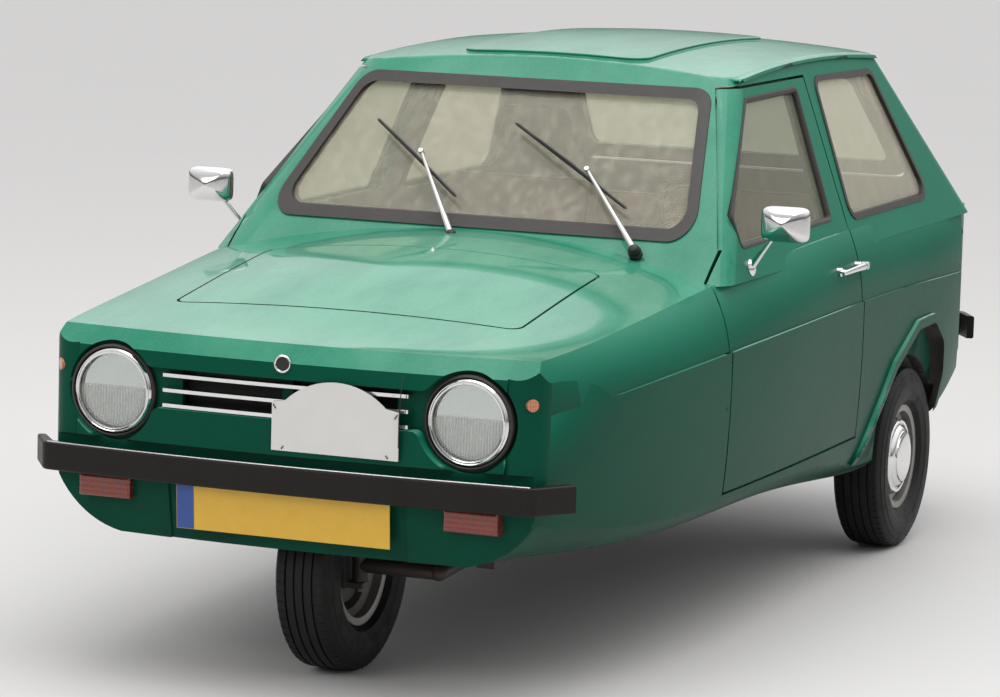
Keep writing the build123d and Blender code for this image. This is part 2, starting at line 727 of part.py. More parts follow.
def build_tailgate():
    """The rear lid: a frame with its glass set in a groove."""
    frame = common(glass_layer(0, HATCH_THICKNESS), hatch_prism())
    (low_x, low_z), (high_x, high_z) = HATCH_OUTLINE
    outline = [(-low_x, low_z), (low_x, low_z), (high_x, high_z), (-high_x, high_z)]
    hole = prism_y(grow(outline, -HATCH_GLASS_INSET), 980, 1620, 25)
    pane_outline = prism_y(grow(outline, -HATCH_GLASS_INSET + 8), 980, 1620, 30)
    wide_outline = prism_y(grow(outline, -HATCH_GLASS_INSET + 8 + SLIP), 980, 1620, 30)
    groove = common(glass_layer(10 - SLIP, 10 + GLASS + SLIP), wide_outline)
    pane = common(glass_layer(10, 10 + GLASS), pane_outline)
    y, z = hatch_axis()
    bore = rod_x(-600, 600, y, z, HINGE_PIN + PIN_FIT)
    middle = block(-HATCH_OUTLINE[1][0] + 20, HATCH_OUTLINE[1][0] - 20, y - 30, y + 30, z - 30, z + 30)
    frame = cut(frame, hole, groove, cut(bore, middle))
    return frame, pane


def hatch_pins():
    y, z = hatch_axis()
    inner = HATCH_OUTLINE[1][0] - 15
    outer = HATCH_OUTLINE[1][0] + 26
    pin = rod_x(inner, outer, y, z, HINGE_PIN)
    return [pin, mirrored(pin)]


def windscreen():
    inner = screen_prism(WINDSCREEN_RUBBER, RUBBER_WIDTH)
    rubber = common(glass_layer(-4, 24), cut(screen_prism(WINDSCREEN_RUBBER), inner))
    pane = common(glass_layer(8, 8 + GLASS), inner)
    return rubber, pane


def quarter_windows():
    inner = prism_x(QUARTER_GLASS, 380, 760, 30)
    outer = prism_x(grow(QUARTER_GLASS, 15), 380, 760, 45)
    rubber = common(glass_layer(-3, 22), cut(outer, inner))
    pane = common(glass_layer(8, 8 + GLASS), inner)
    return [rubber, mirrored(rubber)], [pane, mirrored(pane)]


def spun(points, centre, direction=(0, 1, 0)):
    """Turn a closed (along, radius) outline about an axis through the centre."""
    plane = Plane(centre, x_dir=direction, z_dir=(0, 0, 1) if direction[2] == 0 else (1, 0, 0))
    face = Face(Wire.make_polygon([plane.from_local_coords(Vector(a, r, 0)) for a, r in points]))
    return Solid.revolve(face, 360, Axis(centre, direction))


def headlamps():
    rims, bowls, lenses = [], [], []
    for side in (-1, 1):
        centre = (side * LAMP_X, LAMP_FRONT_Y, LAMP_Z)
        glass, rim = LAMP_GLASS_RADIUS, LAMP_RIM_RADIUS
        outline = [(2, glass), (-4, glass + 2), (-6, glass + 6), (-2, rim - 2), (6, rim)]
        outline += [(21.7, rim), (21.7, glass + 1), (8, glass + 1)]
        rims.append(spun(outline, centre))
        outline = [(7, 0.01), (7, glass), (2, glass - 0.5), (-4, glass - 14), (-9, 45), (-11, 0.01)]
        lenses.append(spun(outline, centre))
        outline = [(7.3, 1), (7.3, glass - 2), (30, glass - 4), (60, 60), (78, 28), (80, 1)]
        bowls.append(spun(outline, centre))
    return rims, bowls, lenses


def grille_bars():
    bars = []
    axis_y = NOSE_Y + NOSE_BOW
    for z in GRILLE_BARS_Z:
        low = z - BAR_HEIGHT / 2
        disc = Solid.make_cylinder(NOSE_BOW - 4, BAR_HEIGHT, Plane((0, axis_y, low)))
        core = Solid.make_cylinder(NOSE_BOW - RECESS_DEPTH, BAR_HEIGHT + 2, Plane((0, axis_y, low - 1)))
        zone = block(-GRILLE_HALF_WIDTH, GRILLE_HALF_WIDTH, -1700, -1550, 500, 800)
        bars.append(cut(common(disc, zone), core))
    return bars


def front_plate():
    """The number plate, leaning forward a little, and the spacers that hold it off the panel."""
    lean = math.degrees(math.atan2(PLATE_LEAN, PLATE_HEIGHT))
    plate = Solid.make_box(PLATE_LENGTH, 2.5, PLATE_HEIGHT, Plane((-PLATE_LENGTH / 2, 0, -PLATE_HEIGHT / 2)))
    plate = plate.rotate(Axis.X, lean).translate(Vector(0, -1629, PLATE_Z))
    panel = bowed(shift_z(NOSE_PROFILE, PLATE_RECESS), NOSE_Y + NOSE_BOW)
    spacers = []
    for side in (-1, 1):
        post = rod_y(side * 190, -1626.3, -1580, PLATE_Z, 10)
        spacers.append(cut(post, panel))
    return fused(plate, *spacers)


def bumper(front, back, corner, tip, depth):
    """A bar bowed in plan with turned-back ends; front and back are y at the middle."""
    out = -1 if front < back else 1
    right = [Vector(*corner), Vector(*tip)]
    right.append(right[1] + Vector(-depth * 0.8, -out * 4))
    right.append(right[0] + Vector(-depth * 0.55, -out * depth))
    left = [Vector(-point.X, point.Y) for point in right]
    edges = [Edge.make_three_point_arc(left[0], Vector(0, front), right[0])]
    edges.append(Edge.make_three_point_arc(right[3], Vector(0, back), left[3]))
    for points in (right, left):
        edges += [Edge.make_line(a, b) for a, b in zip(points, points[1:])]
    face = Face(Wire.combine(edges)[0])
    corners = [v for v in face.vertices() if abs(abs(v.X) - corner[0]) < 1]
    return face.fillet_2d(28, corners)


def bumper_bar(face, low, high):
    """The bar between two heights, with its long outer edges rounded."""
    bar = Solid.extrude(face, Vector(0, 0, high - low)).translate(Vector(0, 0, low))
    long_edges = [edge for edge in bar.edges() if edge.length > 900]
    reach = max(abs(edge.center().Y) for edge in long_edges)
    return bar.fillet(6, [edge for edge in long_edges if abs(edge.center().Y) > reach - 1])


def front_bumper():
    face = bumper(BUMPER_FRONT_Y, BUMPER_FRONT_Y + BUMPER_DEPTH, (597, -1633), (661, -1540), BUMPER_DEPTH)
    bar = bumper_bar(face, BUMPER_LOW_Z, BUMPER_HIGH_Z)
    nose = bowed(NOSE_PROFILE, NOSE_Y + NOSE_BOW)
    irons = [cut(block(side * 300 - 25, side * 300 + 25, -1642, -1600, 475, 505), nose) for side in (-1, 1)]
    irons = [cut(iron, bar) for iron in irons]
    return bar, irons


def rear_bumper():
    face = bumper(BUMPER_BACK_Y, BUMPER_BACK_Y - BUMPER_DEPTH, (612, 1633), (668, 1535), BUMPER_DEPTH)
    bar = bumper_bar(face, *REAR_BUMPER_Z)
    tail = bowed(TAIL_PROFILE, TAIL_Y - TAIL_BOW)
    plates = [block(x - 25, x + 25, 1590, 1642, 505, 535) for x in (-300, 300)]
    return bar, [cut(plate, tail, bar) for plate in plates]


def indicators():
    lamps = []
    for side in (-1, 1):
        lamp_x = sorted([side * (INDICATOR_X[0] + SLIP), side * (INDICATOR_X[1] - SLIP)])
        lamp = block(*lamp_x, -1622, -1588, INDICATOR_Z[0] + SLIP, INDICATOR_Z[1] - SLIP)
        front_edges = [edge for edge in lamp.edges() if edge.center().Y < -1610]
        lamps.append(lamp.fillet(7, front_edges))
    return lamps


def tail_lamps():
    lamps = []
    for side in (-1, 1):
        box = sorted([side * 452, side * 540])
        lamps.append(block(*box, 1540, 1618, 610, 740))
    return lamps


def tyre_at(x, y):
    """A full tyre from bead to bead, spun from one side's outline and its mirror."""
    half = TYRE_WIDTH / 2
    outer, bead, lip = TYRE_RADIUS, RIM_RADIUS + 0.5, RIM_LIP_RADIUS
    side = [(44, bead), (46, lip), (52, lip + 6), (half - 2, 176), (half, 196), (half - 5, 222)]
    side += [(57, outer - 7), (48, outer - 1)]
    outline = [(-a, r) for a, r in side] + [(0, outer)] + side[::-1]
    return spun(outline, (x, y, HUB_Z), (1, 0, 0))


def wheel_at(x, y, out):
    """Steel wheel: rolled rim and dished disc; out is the side that the disc faces."""
    outer = [(15, 111), (24, 126), (46.5, 127), (47, 140), (50, 140)]
    inner = [(50, 136), (48, 123), (26, 122), (18, 107)]
    half = outer + inner
    rim = [(-a, r) for a, r in outer[::-1]] + half + [(-a, r) for a, r in inner[::-1]]
    disc = [(10, 108), (16, 108), (37, 99), (42, 78), (34, 60)]
    disc += [(34, 31), (30, 31), (30, 62), (37, 78), (33, 96)]
    pieces = [spun([(out * a, r) for a, r in outline], (x, y, HUB_Z), (1, 0, 0)) for outline in (rim, disc)]
    return fused(*pieces)


def hub_cap_at(x, y, out):
    outline = [(38.5, 97), (45, 97), (50, 90), (60, 60), (66, 25), (67, 0.01)]
    outline += [(65, 0.01), (64, 25), (58, 59), (48, 88), (44, 94), (38.5, 94)]
    return spun([(out * a, r) for a, r in outline], (x, y, HUB_Z), (1, 0, 0))


def drum_at(x, y, out):
    """Brake drum and hub, turning on the stub."""
    bore = STUB_RADIUS + PIN_FIT
    inner = DRUM_RADIUS - 8
    outline = [(-28, bore), (30, bore), (30, DRUM_RADIUS), (-28, DRUM_RADIUS)]
    outline += [(-28, inner), (18, inner), (18, 26), (-28, 26)]
    return spun([(out * a, r) for a, r in outline], (x, y, HUB_Z), (1, 0, 0))


def front_drum():
    bore = STUB_RADIUS + PIN_FIT
    inner = DRUM_RADIUS - 8
    outline = [(-30, bore), (-30, DRUM_RADIUS), (2, DRUM_RADIUS), (2, inner)]
    outline += [(-18, inner), (-18, 26), (2, 26), (2, bore)]
    return spun(outline, (0, FRONT_WHEEL_Y, HUB_Z), (1, 0, 0))


def knuckle():
    """King pin, fork, stub axle, brake plate and steering arm in one forging."""
    y, z = FRONT_WHEEL_Y, HUB_Z
    pin = rod_z(KING_X, y, z - 62, z + 62, KING_PIN_RADIUS)
    ears = [block(8, KING_X + 16, y - 20, y + 20, z + low, z + low + 14) for low in (40, -54)]
    web = block(8, 18, y - 30, y + 30, z - 54, z + 54)
    plate = rod_x(5, 9, y, z, DRUM_RADIUS + 2)
    stub = rod_x(-34, 10, y, z, STUB_RADIUS)
    ball_x, ball_y = KING_X + STEER_ARM[0], y + STEER_ARM[1]
    arm = rod((KING_X, y, STEER_ARM_Z + 2), (ball_x, ball_y, STEER_ARM_Z + 2), 8)
    boss = rod_z(ball_x, ball_y, STEER_ARM_Z - 8, STEER_ARM_Z + 10, 12)
    pivot = rod_z(ball_x, ball_y, STEER_ARM_Z - 8, STEER_ARM_Z + 34, 5)
    return fused(pin, *ears, web, plate, stub, arm, boss, pivot)


def front_arm():
    """Swing arm from the chassis to the king pin."""
    y, z = FRONT_WHEEL_Y, HUB_Z
    pivot = rod_x(ARM_X - 30, ARM_X + 30, ARM_PIVOT_Y, ARM_PIVOT_Z, 17)
    main = rod((ARM_X, ARM_PIVOT_Y, ARM_PIVOT_Z), (ARM_X, y, z), ARM_RADIUS)
    corner = Solid.make_sphere(ARM_RADIUS, Plane((ARM_X, y, z)))
    cross = rod_x(KING_X + 5, ARM_X, y, z, ARM_RADIUS - 2)
    eye = rod_z(KING_X, y, z - 38, z + 38, 19)
    seat = rod_z(ARM_X, SPRING_Y, z, ARM_PIVOT_Z + 26, SPRING_RADIUS)
    arm = fused(pivot, main, corner, cross, eye, seat)
    pivot_bore = rod_x(ARM_X - 40, ARM_X + 40, ARM_PIVOT_Y, ARM_PIVOT_Z, 9 + SLIP)
    return cut(arm, pivot_bore, rod_z(KING_X, y, z - 60, z + 60, KING_PIN_RADIUS + PIN_FIT))


def front_spring():
    foot = ARM_PIVOT_Z + 26
    coil = rod_z(ARM_X, SPRING_Y, foot, TOWER_Z, SPRING_RADIUS)
    coil = cut(coil, rod_z(ARM_X, SPRING_Y, foot - 1, TOWER_Z + 1, SPRING_RADIUS - 10))
    damper = rod_z(ARM_X, SPRING_Y, foot, TOWER_Z, 16)
    return coil, damper


def drop_arm():
    x, y, z = DROP_ARM_X, DROP_ARM_Y, DROP_ARM_Z
    end_x, end_y = x + STEER_ARM[0], y + STEER_ARM[1]
    shaft = rod_z(x, y, z - 8, z + 50, 9)
    arm = rod((x, y, z), (end_x, end_y, z), 8)
    boss = rod_z(end_x, end_y, z - 8, z + 8, 11)
    pivot = rod_z(end_x, end_y, z - 36, z, 5)
    return fused(shaft, arm, boss, pivot)


def steering_link():
    """Drag link between the arm on the king pin and the drop arm."""
    x0, y0 = KING_X + STEER_ARM[0], FRONT_WHEEL_Y + STEER_ARM[1]
    x1, y1 = DROP_ARM_X + STEER_ARM[0], DROP_ARM_Y + STEER_ARM[1]
    z = STEER_ARM_Z + 24
    bar = rod((x0, y0, z), (x1, y1, z), 7)
    ends = [rod_z(x, y, z - 10, z + 10, 11) for x, y in ((x0, y0), (x1, y1))]
    holes = [rod_z(x, y, z - 20, z + 20, 5 + PIN_FIT) for x, y in ((x0, y0), (x1, y1))]
    return cut(fused(bar, *ends), *holes)


def steering_box():
    x, y, z = DROP_ARM_X, DROP_ARM_Y, DROP_ARM_Z
    case = block(x - 30, x + 34, y - 34, y + 26, z + 12, z + 90)
    plate = block(x + 30, RAIL_X[1] - 4, y - 25, y + 15, z + 58, z + 70)
    leg = block(RAIL_X[1] - 22, RAIL_X[1] - 4, y - 25, y + 15, RAIL_LOW_Z + RAIL_HEIGHT, z + 60)
    case = fused(case, plate, leg)
    shaft_hole = rod_z(x, y, z, z + 52, 9 + PIN_FIT)
    column_hole = rod(COLUMN_FOOT, STEERING_WHEEL_AT, COLUMN_RADIUS + PIN_FIT)
    return cut(case, shaft_hole, column_hole)


def column_point(share):
    return tuple(a + (b - a) * share for a, b in zip(COLUMN_FOOT, STEERING_WHEEL_AT))


def steering_wheel():
    centre = Vector(*STEERING_WHEEL_AT)
    along = (centre - Vector(*COLUMN_FOOT)).normalized()
    plane = Plane(centre, z_dir=along)
    rim = Solid.make_torus(STEERING_WHEEL_RADIUS, 11, plane)
    hub = Solid.make_cylinder(32, 30, Plane(centre - along * 25, z_dir=along))
    shaft = rod(COLUMN_FOOT, STEERING_WHEEL_AT, COLUMN_RADIUS)
    spokes = []
    for turn in (0, 180, 270):
        out = plane.rotated((0, 0, turn)).x_dir
        spokes.append(rod(centre + out * 15, centre + out * (STEERING_WHEEL_RADIUS - 2), 8))
    return fused(rim, hub, shaft, *spokes)


def column_jacket():
    jacket = rod(column_point(0.36), column_point(0.93), 20)
    return cut(jacket, rod(COLUMN_FOOT, STEERING_WHEEL_AT, COLUMN_RADIUS + 1))


def chassis():
    """Ladder frame with a kick-up over the rear axle, cross tubes, spring tower and hangers."""
    low, high = RAIL_LOW_Z, RAIL_LOW_Z + RAIL_HEIGHT
    under = [(RAIL_FRONT_Y, low), (KICK_Y[0], low), (KICK_Y[1], low + RAIL_KICK), (RAIL_BACK_Y, low + RAIL_KICK)]
    over = [(y, z + RAIL_HEIGHT) for y, z in under[::-1]]
    rail = prism_x(under + over, *RAIL_X)
    parts = [rail, mirrored(rail)]
    inner = RAIL_X[0] + 8
    lifts = [0, 0, RAIL_KICK]
    for y, lift in zip(CROSS_Y, lifts):
        parts.append(block(-inner, inner, y, y + 40, low + 8 + lift, high - 8 + lift))
    kick_low, kick_high = low + RAIL_KICK, high + RAIL_KICK
    parts.append(block(-inner, inner, RAIL_BACK_Y - 50, RAIL_BACK_Y, kick_low + 5, kick_high - 5))
    post = block(322, 340, SPRING_Y - 22, SPRING_Y + 22, high - 2, TOWER_Z + 8)
    top = block(ARM_X - 40, 340, SPRING_Y - 40, SPRING_Y + 40, TOWER_Z, TOWER_Z + 8)
    brackets = []
    for x in (ARM_X - 38, ARM_X + 30):
        brackets.append(block(x, x + 8, ARM_PIVOT_Y - 20, CROSS_Y[0] + 2, ARM_PIVOT_Z - 20, high - 8))
    bolt = rod_x(ARM_X - 34, ARM_X + 34, ARM_PIVOT_Y, ARM_PIVOT_Z, 9)
    hangers = []
    for x0, x1 in (RAIL_X, (-RAIL_X[1], -RAIL_X[0])):
        hangers.append(block(x0, x1, 418, 462, 222, low + 2))
        hangers.append(block(x0, x1, 1290, 1330, 300, kick_low + 2))
    for y in ENGINE_CROSS_Y:
        parts.append(block(-inner, inner, y, y + 44, low - 15, low))
    foot_y = ENGINE_CROSS_Y[0]
    engine_feet = [block(x - 30, x + 30, foot_y, foot_y + 44, low - 2, ENGINE_LOW_Z) for x in (-90, 90)]
    return fused(parts[0], *parts[1:], post, top, *brackets, *hangers, bolt, *engine_feet)


def leaf_springs():
    stacks = []
    reaches = [(440, 222, 1310, 300), (540, 214, 1200, 266), (650, 205, 1080, 236)]
    mid = HUB_Z - AXLE_RADIUS - 0.5
    for index, (y0, z0, y1, z1) in enumerate(reaches):
        drop = index * (LEAF_THICKNESS + 0.3)
        points = [Vector(RAIL_X[0], *at) for at in ((y0, z0), (REAR_WHEEL_Y, mid - drop), (y1, z1))]
        top = Edge.make_three_point_arc(*points)
        low = Edge.make_three_point_arc(*[point - Vector(0, 0, LEAF_THICKNESS) for point in points[::-1]])
        ends = [Edge.make_line(top.end_point(), low.start_point())]
        ends.append(Edge.make_line(low.end_point(), top.start_point()))
        face = Face(Wire([top, ends[0], low, ends[1]]))
        stacks.append(Solid.extrude(face, Vector(LEAF_WIDTH, 0, 0)))
    return stacks


def rear_axle():
    y, z = REAR_WHEEL_Y, HUB_Z
    reach = REAR_HALF_TRACK - 33
    plate = DRUM_RADIUS + 3
    end = REAR_HALF_TRACK + 29
    half = [(50, DIFF_RADIUS - 8), (82, 60), (110, AXLE_RADIUS), (reach - 4, AXLE_RADIUS), (reach - 4, plate)]
    half += [(reach, plate), (reach, STUB_RADIUS), (end, STUB_RADIUS), (end, 0.01)]
    outline = [(-x, r) for x, r in reversed(half)] + [(0, DIFF_RADIUS)] + half
    casing = spun(outline, (0, y, z), (1, 0, 0))
    tube_z = RAIL_LOW_Z + RAIL_KICK + 8
    cross_tube = block(-320, 320, CROSS_Y[2], CROSS_Y[2] + 40, tube_z, tube_z + 60)
    dampers = [rod((x, y + 8, z + 8), (x, CROSS_Y[2] + 20, tube_z + 6), 13) for x in (-280, 280)]
    return fused(casing, rod_y(0, y - 190, y - 40, z, 38), *[cut(damper, cross_tube) for damper in dampers])


def gearbox():
    return block(-95, 95, ENGINE_BACK_Y, GEARBOX_BACK_Y, 255, 425)


def propeller_shaft(spare=0):
    start = (0, GEARBOX_BACK_Y, 314)
    end = (0, REAR_WHEEL_Y - 192, HUB_Z + 4)
    return rod(start, end, 26 + spare)


def exhaust():
    points = [(-175, -690, 300), (-215, -560, 220), (-215, 560, 220), (-215, 760, 190), (-215, 980, 190)]
    points += [(-215, 1120, 250), (-215, 1180, 262)]
    pieces = [rod(a, b, 17) for a, b in zip(points, points[1:])]
    pieces += [Solid.make_sphere(17, Plane(p)) for p in points[1:-1]]
    pieces.append(rod_x(-175, -ENGINE_HALF_WIDTH, -690, 300, 17))
    pieces.append(rod_y(-215, 1170, 1480, 262, 52))
    pieces.append(block(-220, -210, RAIL_BACK_Y - 45, RAIL_BACK_Y - 25, 300, RAIL_LOW_Z + RAIL_KICK + 5))
    pieces.append(rod_y(-215, 1470, 1625, 290, 17))
    return fused(pieces[0], *pieces[1:])


def floor_pan():
    """Floor with its tunnel and the boxes over the rear wheels."""
    room = cabin_hollow(SLIP)
    z, wall, rear = FLOOR_Z, FLOOR_WALL, REAR_FLOOR_Z
    front = BULKHEAD_Y + BULKHEAD_WALL
    under = [(front, z), (KICK_Y[0], z), (KICK_Y[1], rear), (1600, rear)]
    over = [(1600, rear + wall), (KICK_Y[1] - 4, rear + wall), (KICK_Y[0] - 4, z + wall), (front, z + wall)]
    slab = prism_x(under + over, -700, 700)
    bell = rod_y(0, front, BELL_BACK_Y, TUNNEL_Z, BELL_RADIUS)
    tunnel = rod_y(0, front, KICK_Y[1] + 60, TUNNEL_Z, TUNNEL_RADIUS)
    well = rod_x(WELL_INNER_X - 8, 700, REAR_WHEEL_Y, HUB_Z, WELL_RADIUS + 8)
    wells = [well, mirrored(well)]
    keep = block(-700, 700, front, 1600, z, 900)
    pan = common(fused(slab, bell, tunnel, *wells), room, keep)
    inner_bell = rod_y(0, front - 5, BELL_BACK_Y - TUNNEL_WALL, TUNNEL_Z, BELL_RADIUS - TUNNEL_WALL)
    inner_tunnel = rod_y(0, front - 5, KICK_Y[1] + 60 - TUNNEL_WALL, TUNNEL_Z, TUNNEL_RADIUS - TUNNEL_WALL)
    hole = rod_x(WELL_INNER_X, 720, REAR_WHEEL_Y, HUB_Z, WELL_RADIUS)
    return cut(pan, inner_bell, inner_tunnel, hole, mirrored(hole))


def soft_box(x0, x1, y0, y1, z0, z1, radius=30):
    shape = block(x0, x1, y0, y1, z0, z1)
    return shape.fillet(radius, shape.edges())


def front_seats():
    cushions, backs, frames = [], [], []
    for side in (-1, 1):
        x0, x1 = sorted([side * 100, side * 520])
        cushion = soft_box(x0, x1, -110, 351.5, 450, 560)
        back = soft_box(x0, x1, 0, 105, 0, 500).rotate(Axis.X, -14).translate(Vector(0, 345.4, 500))
        cushions.append(cushion)
        backs.append(back)
        frames.append(block(x0 + 30, x1 - 30, -60, 330, FLOOR_Z + FLOOR_WALL, 449.7))
    return cushions, backs, frames


def rear_seat():
    cushion = soft_box(-500, 500, 700, 1074.5, REAR_FLOOR_Z + FLOOR_WALL + SLIP, 560)
    back = soft_box(-500, 500, 0, 95, 0, 400).rotate(Axis.X, -16).translate(Vector(0, 1067.7, 500))
    return cushion, back


def dashboard():
    front = BULKHEAD_Y + BULKHEAD_WALL
    outline = [(front, 850), (-470, 838), (-430, 815), (-430, 700), (-470, 660), (front, 660)]
    board = prism_x(outline, -618, 618)
    board = common(board, cabin_hollow())
    return cut(board, rod(COLUMN_FOOT, STEERING_WHEEL_AT, 19))


def mirrors():
    """Door mirrors on their stalks."""
    foot = (665, -440, 885)
    ball = (742, -470, 985)
    shell = soft_box(0, 118, -22, 22, 0, 84, 14).translate(Vector(700, -480, 958))
    stalk = rod(foot, ball, 7)
    mirror = fused(shell, stalk, Solid.make_sphere(11, Plane(ball)))
    return cut(mirror, body_loft(low=False), glasshouse())


def door_handle():
    bar = rod_y(712, 155, 345, 817, 9)
    posts = [rod_x(660, 712, y, 817, 7) for y in (170, 330)]
    return cut(fused(bar, *posts), body_loft(low=False))


def rally_plaque():
    """A blank white plaque with an arched head, tied in front of the grille."""
    left, right, back = -20, 285, NOSE_Y - 1.3
    middle = (left + right) / 2
    points = [(left + 32, 668), (left, 662), (left, 555), (right, 555), (right, 662), (right - 32, 668)]
    points = [Vector(x, back, z) for x, z in points]
    edges = [Edge.make_line(a, b) for a, b in zip(points, points[1:])]
    edges.append(Edge.make_three_point_arc(points[-1], Vector(middle, back, 716), points[0]))
    plate = Solid.extrude(Face(Wire(edges)), Vector(0, -3, 0))
    nose = bowed(NOSE_PROFILE, NOSE_Y + NOSE_BOW)
    pads = [cut(rod_y(x, back - 1, -1600, 590, 8), nose) for x in (left + 40, right - 40)]
    return fused(plate, *pads)


def side_marker_rods(radius, inner, outer):
    rods = []
    for side in (-1, 1):
        centre = Vector(side * 572, -1590, 695)
        out = Vector(side * 0.75, -0.66, 0)
        rods.append(rod(centre - out * inner, centre + out * outer, radius))
    return rods


def radiator():
    """The radiator stands behind the grille on two arms from the nose."""
    core = block(-165, 165, -1540, -1500, 505, 715)
    arms = [common(block(x - 12, x + 12, -1640, -1539, 520, 560), bay_hollow()) for x in (-140, 140)]
    return fused(core, *arms)


def fuel_tank():
    tank = block(-130, 300, 1120, 1440, 300, REAR_FLOOR_Z)
    return tank.fillet(25, tank.edges().filter_by(Axis.X).sort_by(Axis.Z)[:2])


def cabin_levers():
    """Gear lever on the bell housing cover, and hand brake on the tunnel."""
    boot = cut(rod_z(0, -290, 400, 492, 34), rod_y(0, -700, 0, TUNNEL_Z, BELL_RADIUS))
    stick = rod((0, -290, 484), (0, -236, 640), 7)
    gear = fused(boot, stick, Solid.make_sphere(19, Plane((0, -236, 648))))
    bracket = cut(block(-12, 12, 190, 262, 380, 436), rod_y(0, 0, 400, TUNNEL_Z, TUNNEL_RADIUS))
    lever = rod((0, 236, 424), (0, 40, 486), 8)
    grip = rod((0, 104, 466), (0, 20, 492), 13)
    return gear, fused(bracket, lever, grip)


def pedals():
    """Three pedals that hang from the bulkhead in front of the driver."""
    wall = BULKHEAD_Y + BULKHEAD_WALL
    hung = []
    for x in PEDALS_X:
        arm = rod((x, wall - 10, 640), (x, wall + 74, 474), 7)
        pad = block(x - 22, x + 22, wall + 70, wall + 80, 446, 500)
        hung.append(cut(fused(arm, pad), block(x - 20, x + 20, wall - 30, wall, 600, 700)))
    return hung


def cabin_mirror():
    glass = soft_box(-102, 102, -156, -134, 1216, 1264, 9)
    stalk = common(rod((0, -142, 1250), (0, -132, 1350), 6), glasshouse_hollow())
    return fused(glass, stalk)


def wipers():
    """Arms and blades lying on the windscreen."""
    routes = [
        [(-35, -612, 921), (-209, -403, 1099), (-366, -323, 1171), (-74, -501, 1009)],
        [(437, -612, 917), (237, -420, 1083), (1, -312, 1181), (370, -501, 1009)],
    ]
    sets = []
    for pivot, elbow, tip, heel in routes:
        lift = Vector(0, -12, 11)
        arm = rod(Vector(*pivot) + lift, Vector(*elbow) + lift, 5)
        blade = rod(Vector(*tip) + lift * 0.8, Vector(*heel) + lift * 0.8, 5)
        spindle = rod(Vector(*pivot) - lift * 2, Vector(*pivot) + lift * 1.5, 11)
        sets.append(fused(arm, blade, spindle))
    return sets


def main():
    os.makedirs("parts", exist_ok=True)
    lower, upper, doors = build_body()
    rims, bowls, lenses = headlamps()
    tails = tail_lamps()
    lower = cut(lower, *tails)
    tail_face = bowed(shift_z(TAIL_PROFILE, 4), TAIL_Y - TAIL_BOW)
    arms = wipers()
    rubber, screen = windscreen()
    mirror = mirrors()
    save("lower_moulding", cut(lower, *door_hinge_set()))
    save("upper_moulding", cut(upper, *tails, *arms, *door_hinge_set(), *side_marker_rods(14 + SLIP, 11, 20)))
    left_door = finish_door(doors["left"])
    save("door_left", left_door)
    save("door_right", mirrored(left_door))
    glass = door_glass()
    save("door_glass_left", glass)
    save("door_glass_right", mirrored(glass))
    save("bonnet", build_bonnet())
    save("bonnet_arms", *bonnet_arms())
    frame, pane = build_tailgate()
    save("tailgate", frame)
    save("tailgate_glass", pane)
    save("hinge_pins", *door_hinge_set(), *bonnet_brackets(), *hatch_pins())
    rubbers, panes = quarter_windows()
    save("window_rubbers", rubber, *rubbers)
    save("fixed_glass", screen, *panes)
    save("headlamp_rims", *rims)
    save("headlamp_bowls", *bowls)
    save("headlamp_lenses", *lenses)
    save("grille_bars", *grille_bars())
    save("number_plate", front_plate())
    bar, irons = front_bumper()
    save("front_bumper", fused(bar, *irons))
    bar, irons = rear_bumper()
    save("rear_bumper", fused(bar, *irons))
    save("indicators", *indicators())
    save("side_markers", *side_marker_rods(14, 10.5, 5))
    save("rally_plaque", rally_plaque())
    save("radiator", radiator())
    save("fuel_tank", fuel_tank())
    save("cabin_levers", *cabin_levers())
    save("cabin_mirror", cabin_mirror())
    save("pedals", *pedals())
    save("tail_lamps", *[common(lamp, tail_face) for lamp in tails])
    save("wipers", *arms)
    save("mirror_left", mirror)
    save("mirror_right", mirrored(mirror))
    save("handle_left", door_handle())
    save("handle_right", mirrored(door_handle()))
    save("tyre_front", tyre_at(0, FRONT_WHEEL_Y))
    save("wheel_front", fused(wheel_at(0, FRONT_WHEEL_Y, -1), front_drum()))
    save("knuckle", knuckle())
    save("front_arm", front_arm())
    save("front_spring", *front_spring())
    save("drop_arm", drop_arm())
    save("steering_link", steering_link())
    save("steering_box", steering_box())
    save("steering_wheel", steering_wheel())
    for name, side in (("left", 1), ("right", -1)):
        x = side * REAR_HALF_TRACK
        save(f"tyre_{name}", tyre_at(x, REAR_WHEEL_Y))
        save(f"wheel_{name}", fused(wheel_at(x, REAR_WHEEL_Y, side), drum_at(x, REAR_WHEEL_Y, side)))
        save(f"hub_cap_{name}", hub_cap_at(x, REAR_WHEEL_Y, side))
    frame = chassis()
    save("chassis_frame", cut(frame, propeller_shaft(6)))
    save("rear_axle", rear_axle())
    leaves = leaf_springs()
    save("leaf_springs", *leaves, *[mirrored(leaf) for leaf in leaves])
    half = ENGINE_HALF_WIDTH
    save("engine_block", block(-half, half, ENGINE_FRONT_Y, ENGINE_BACK_Y, ENGINE_LOW_Z, ENGINE_HIGH_Z))
    save("drive_line", gearbox(), propeller_shaft())
    save("exhaust", exhaust())
    save("floor_pan", floor_pan())
    cushions, backs, frames = front_seats()
    rear_cushion, rear_back = rear_seat()
    save("seat_cushions", *cushions, rear_cushion)
    save("seat_backs", *backs, rear_back)
    save("seat_frames", *frames)
    save("dashboard", fused(dashboard(), column_jacket()))


if __name__ == "__main__":
    main()
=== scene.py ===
import itertools
import json
import math
import bmesh
import bpy
import numpy as np
from mathutils import Matrix, Vector


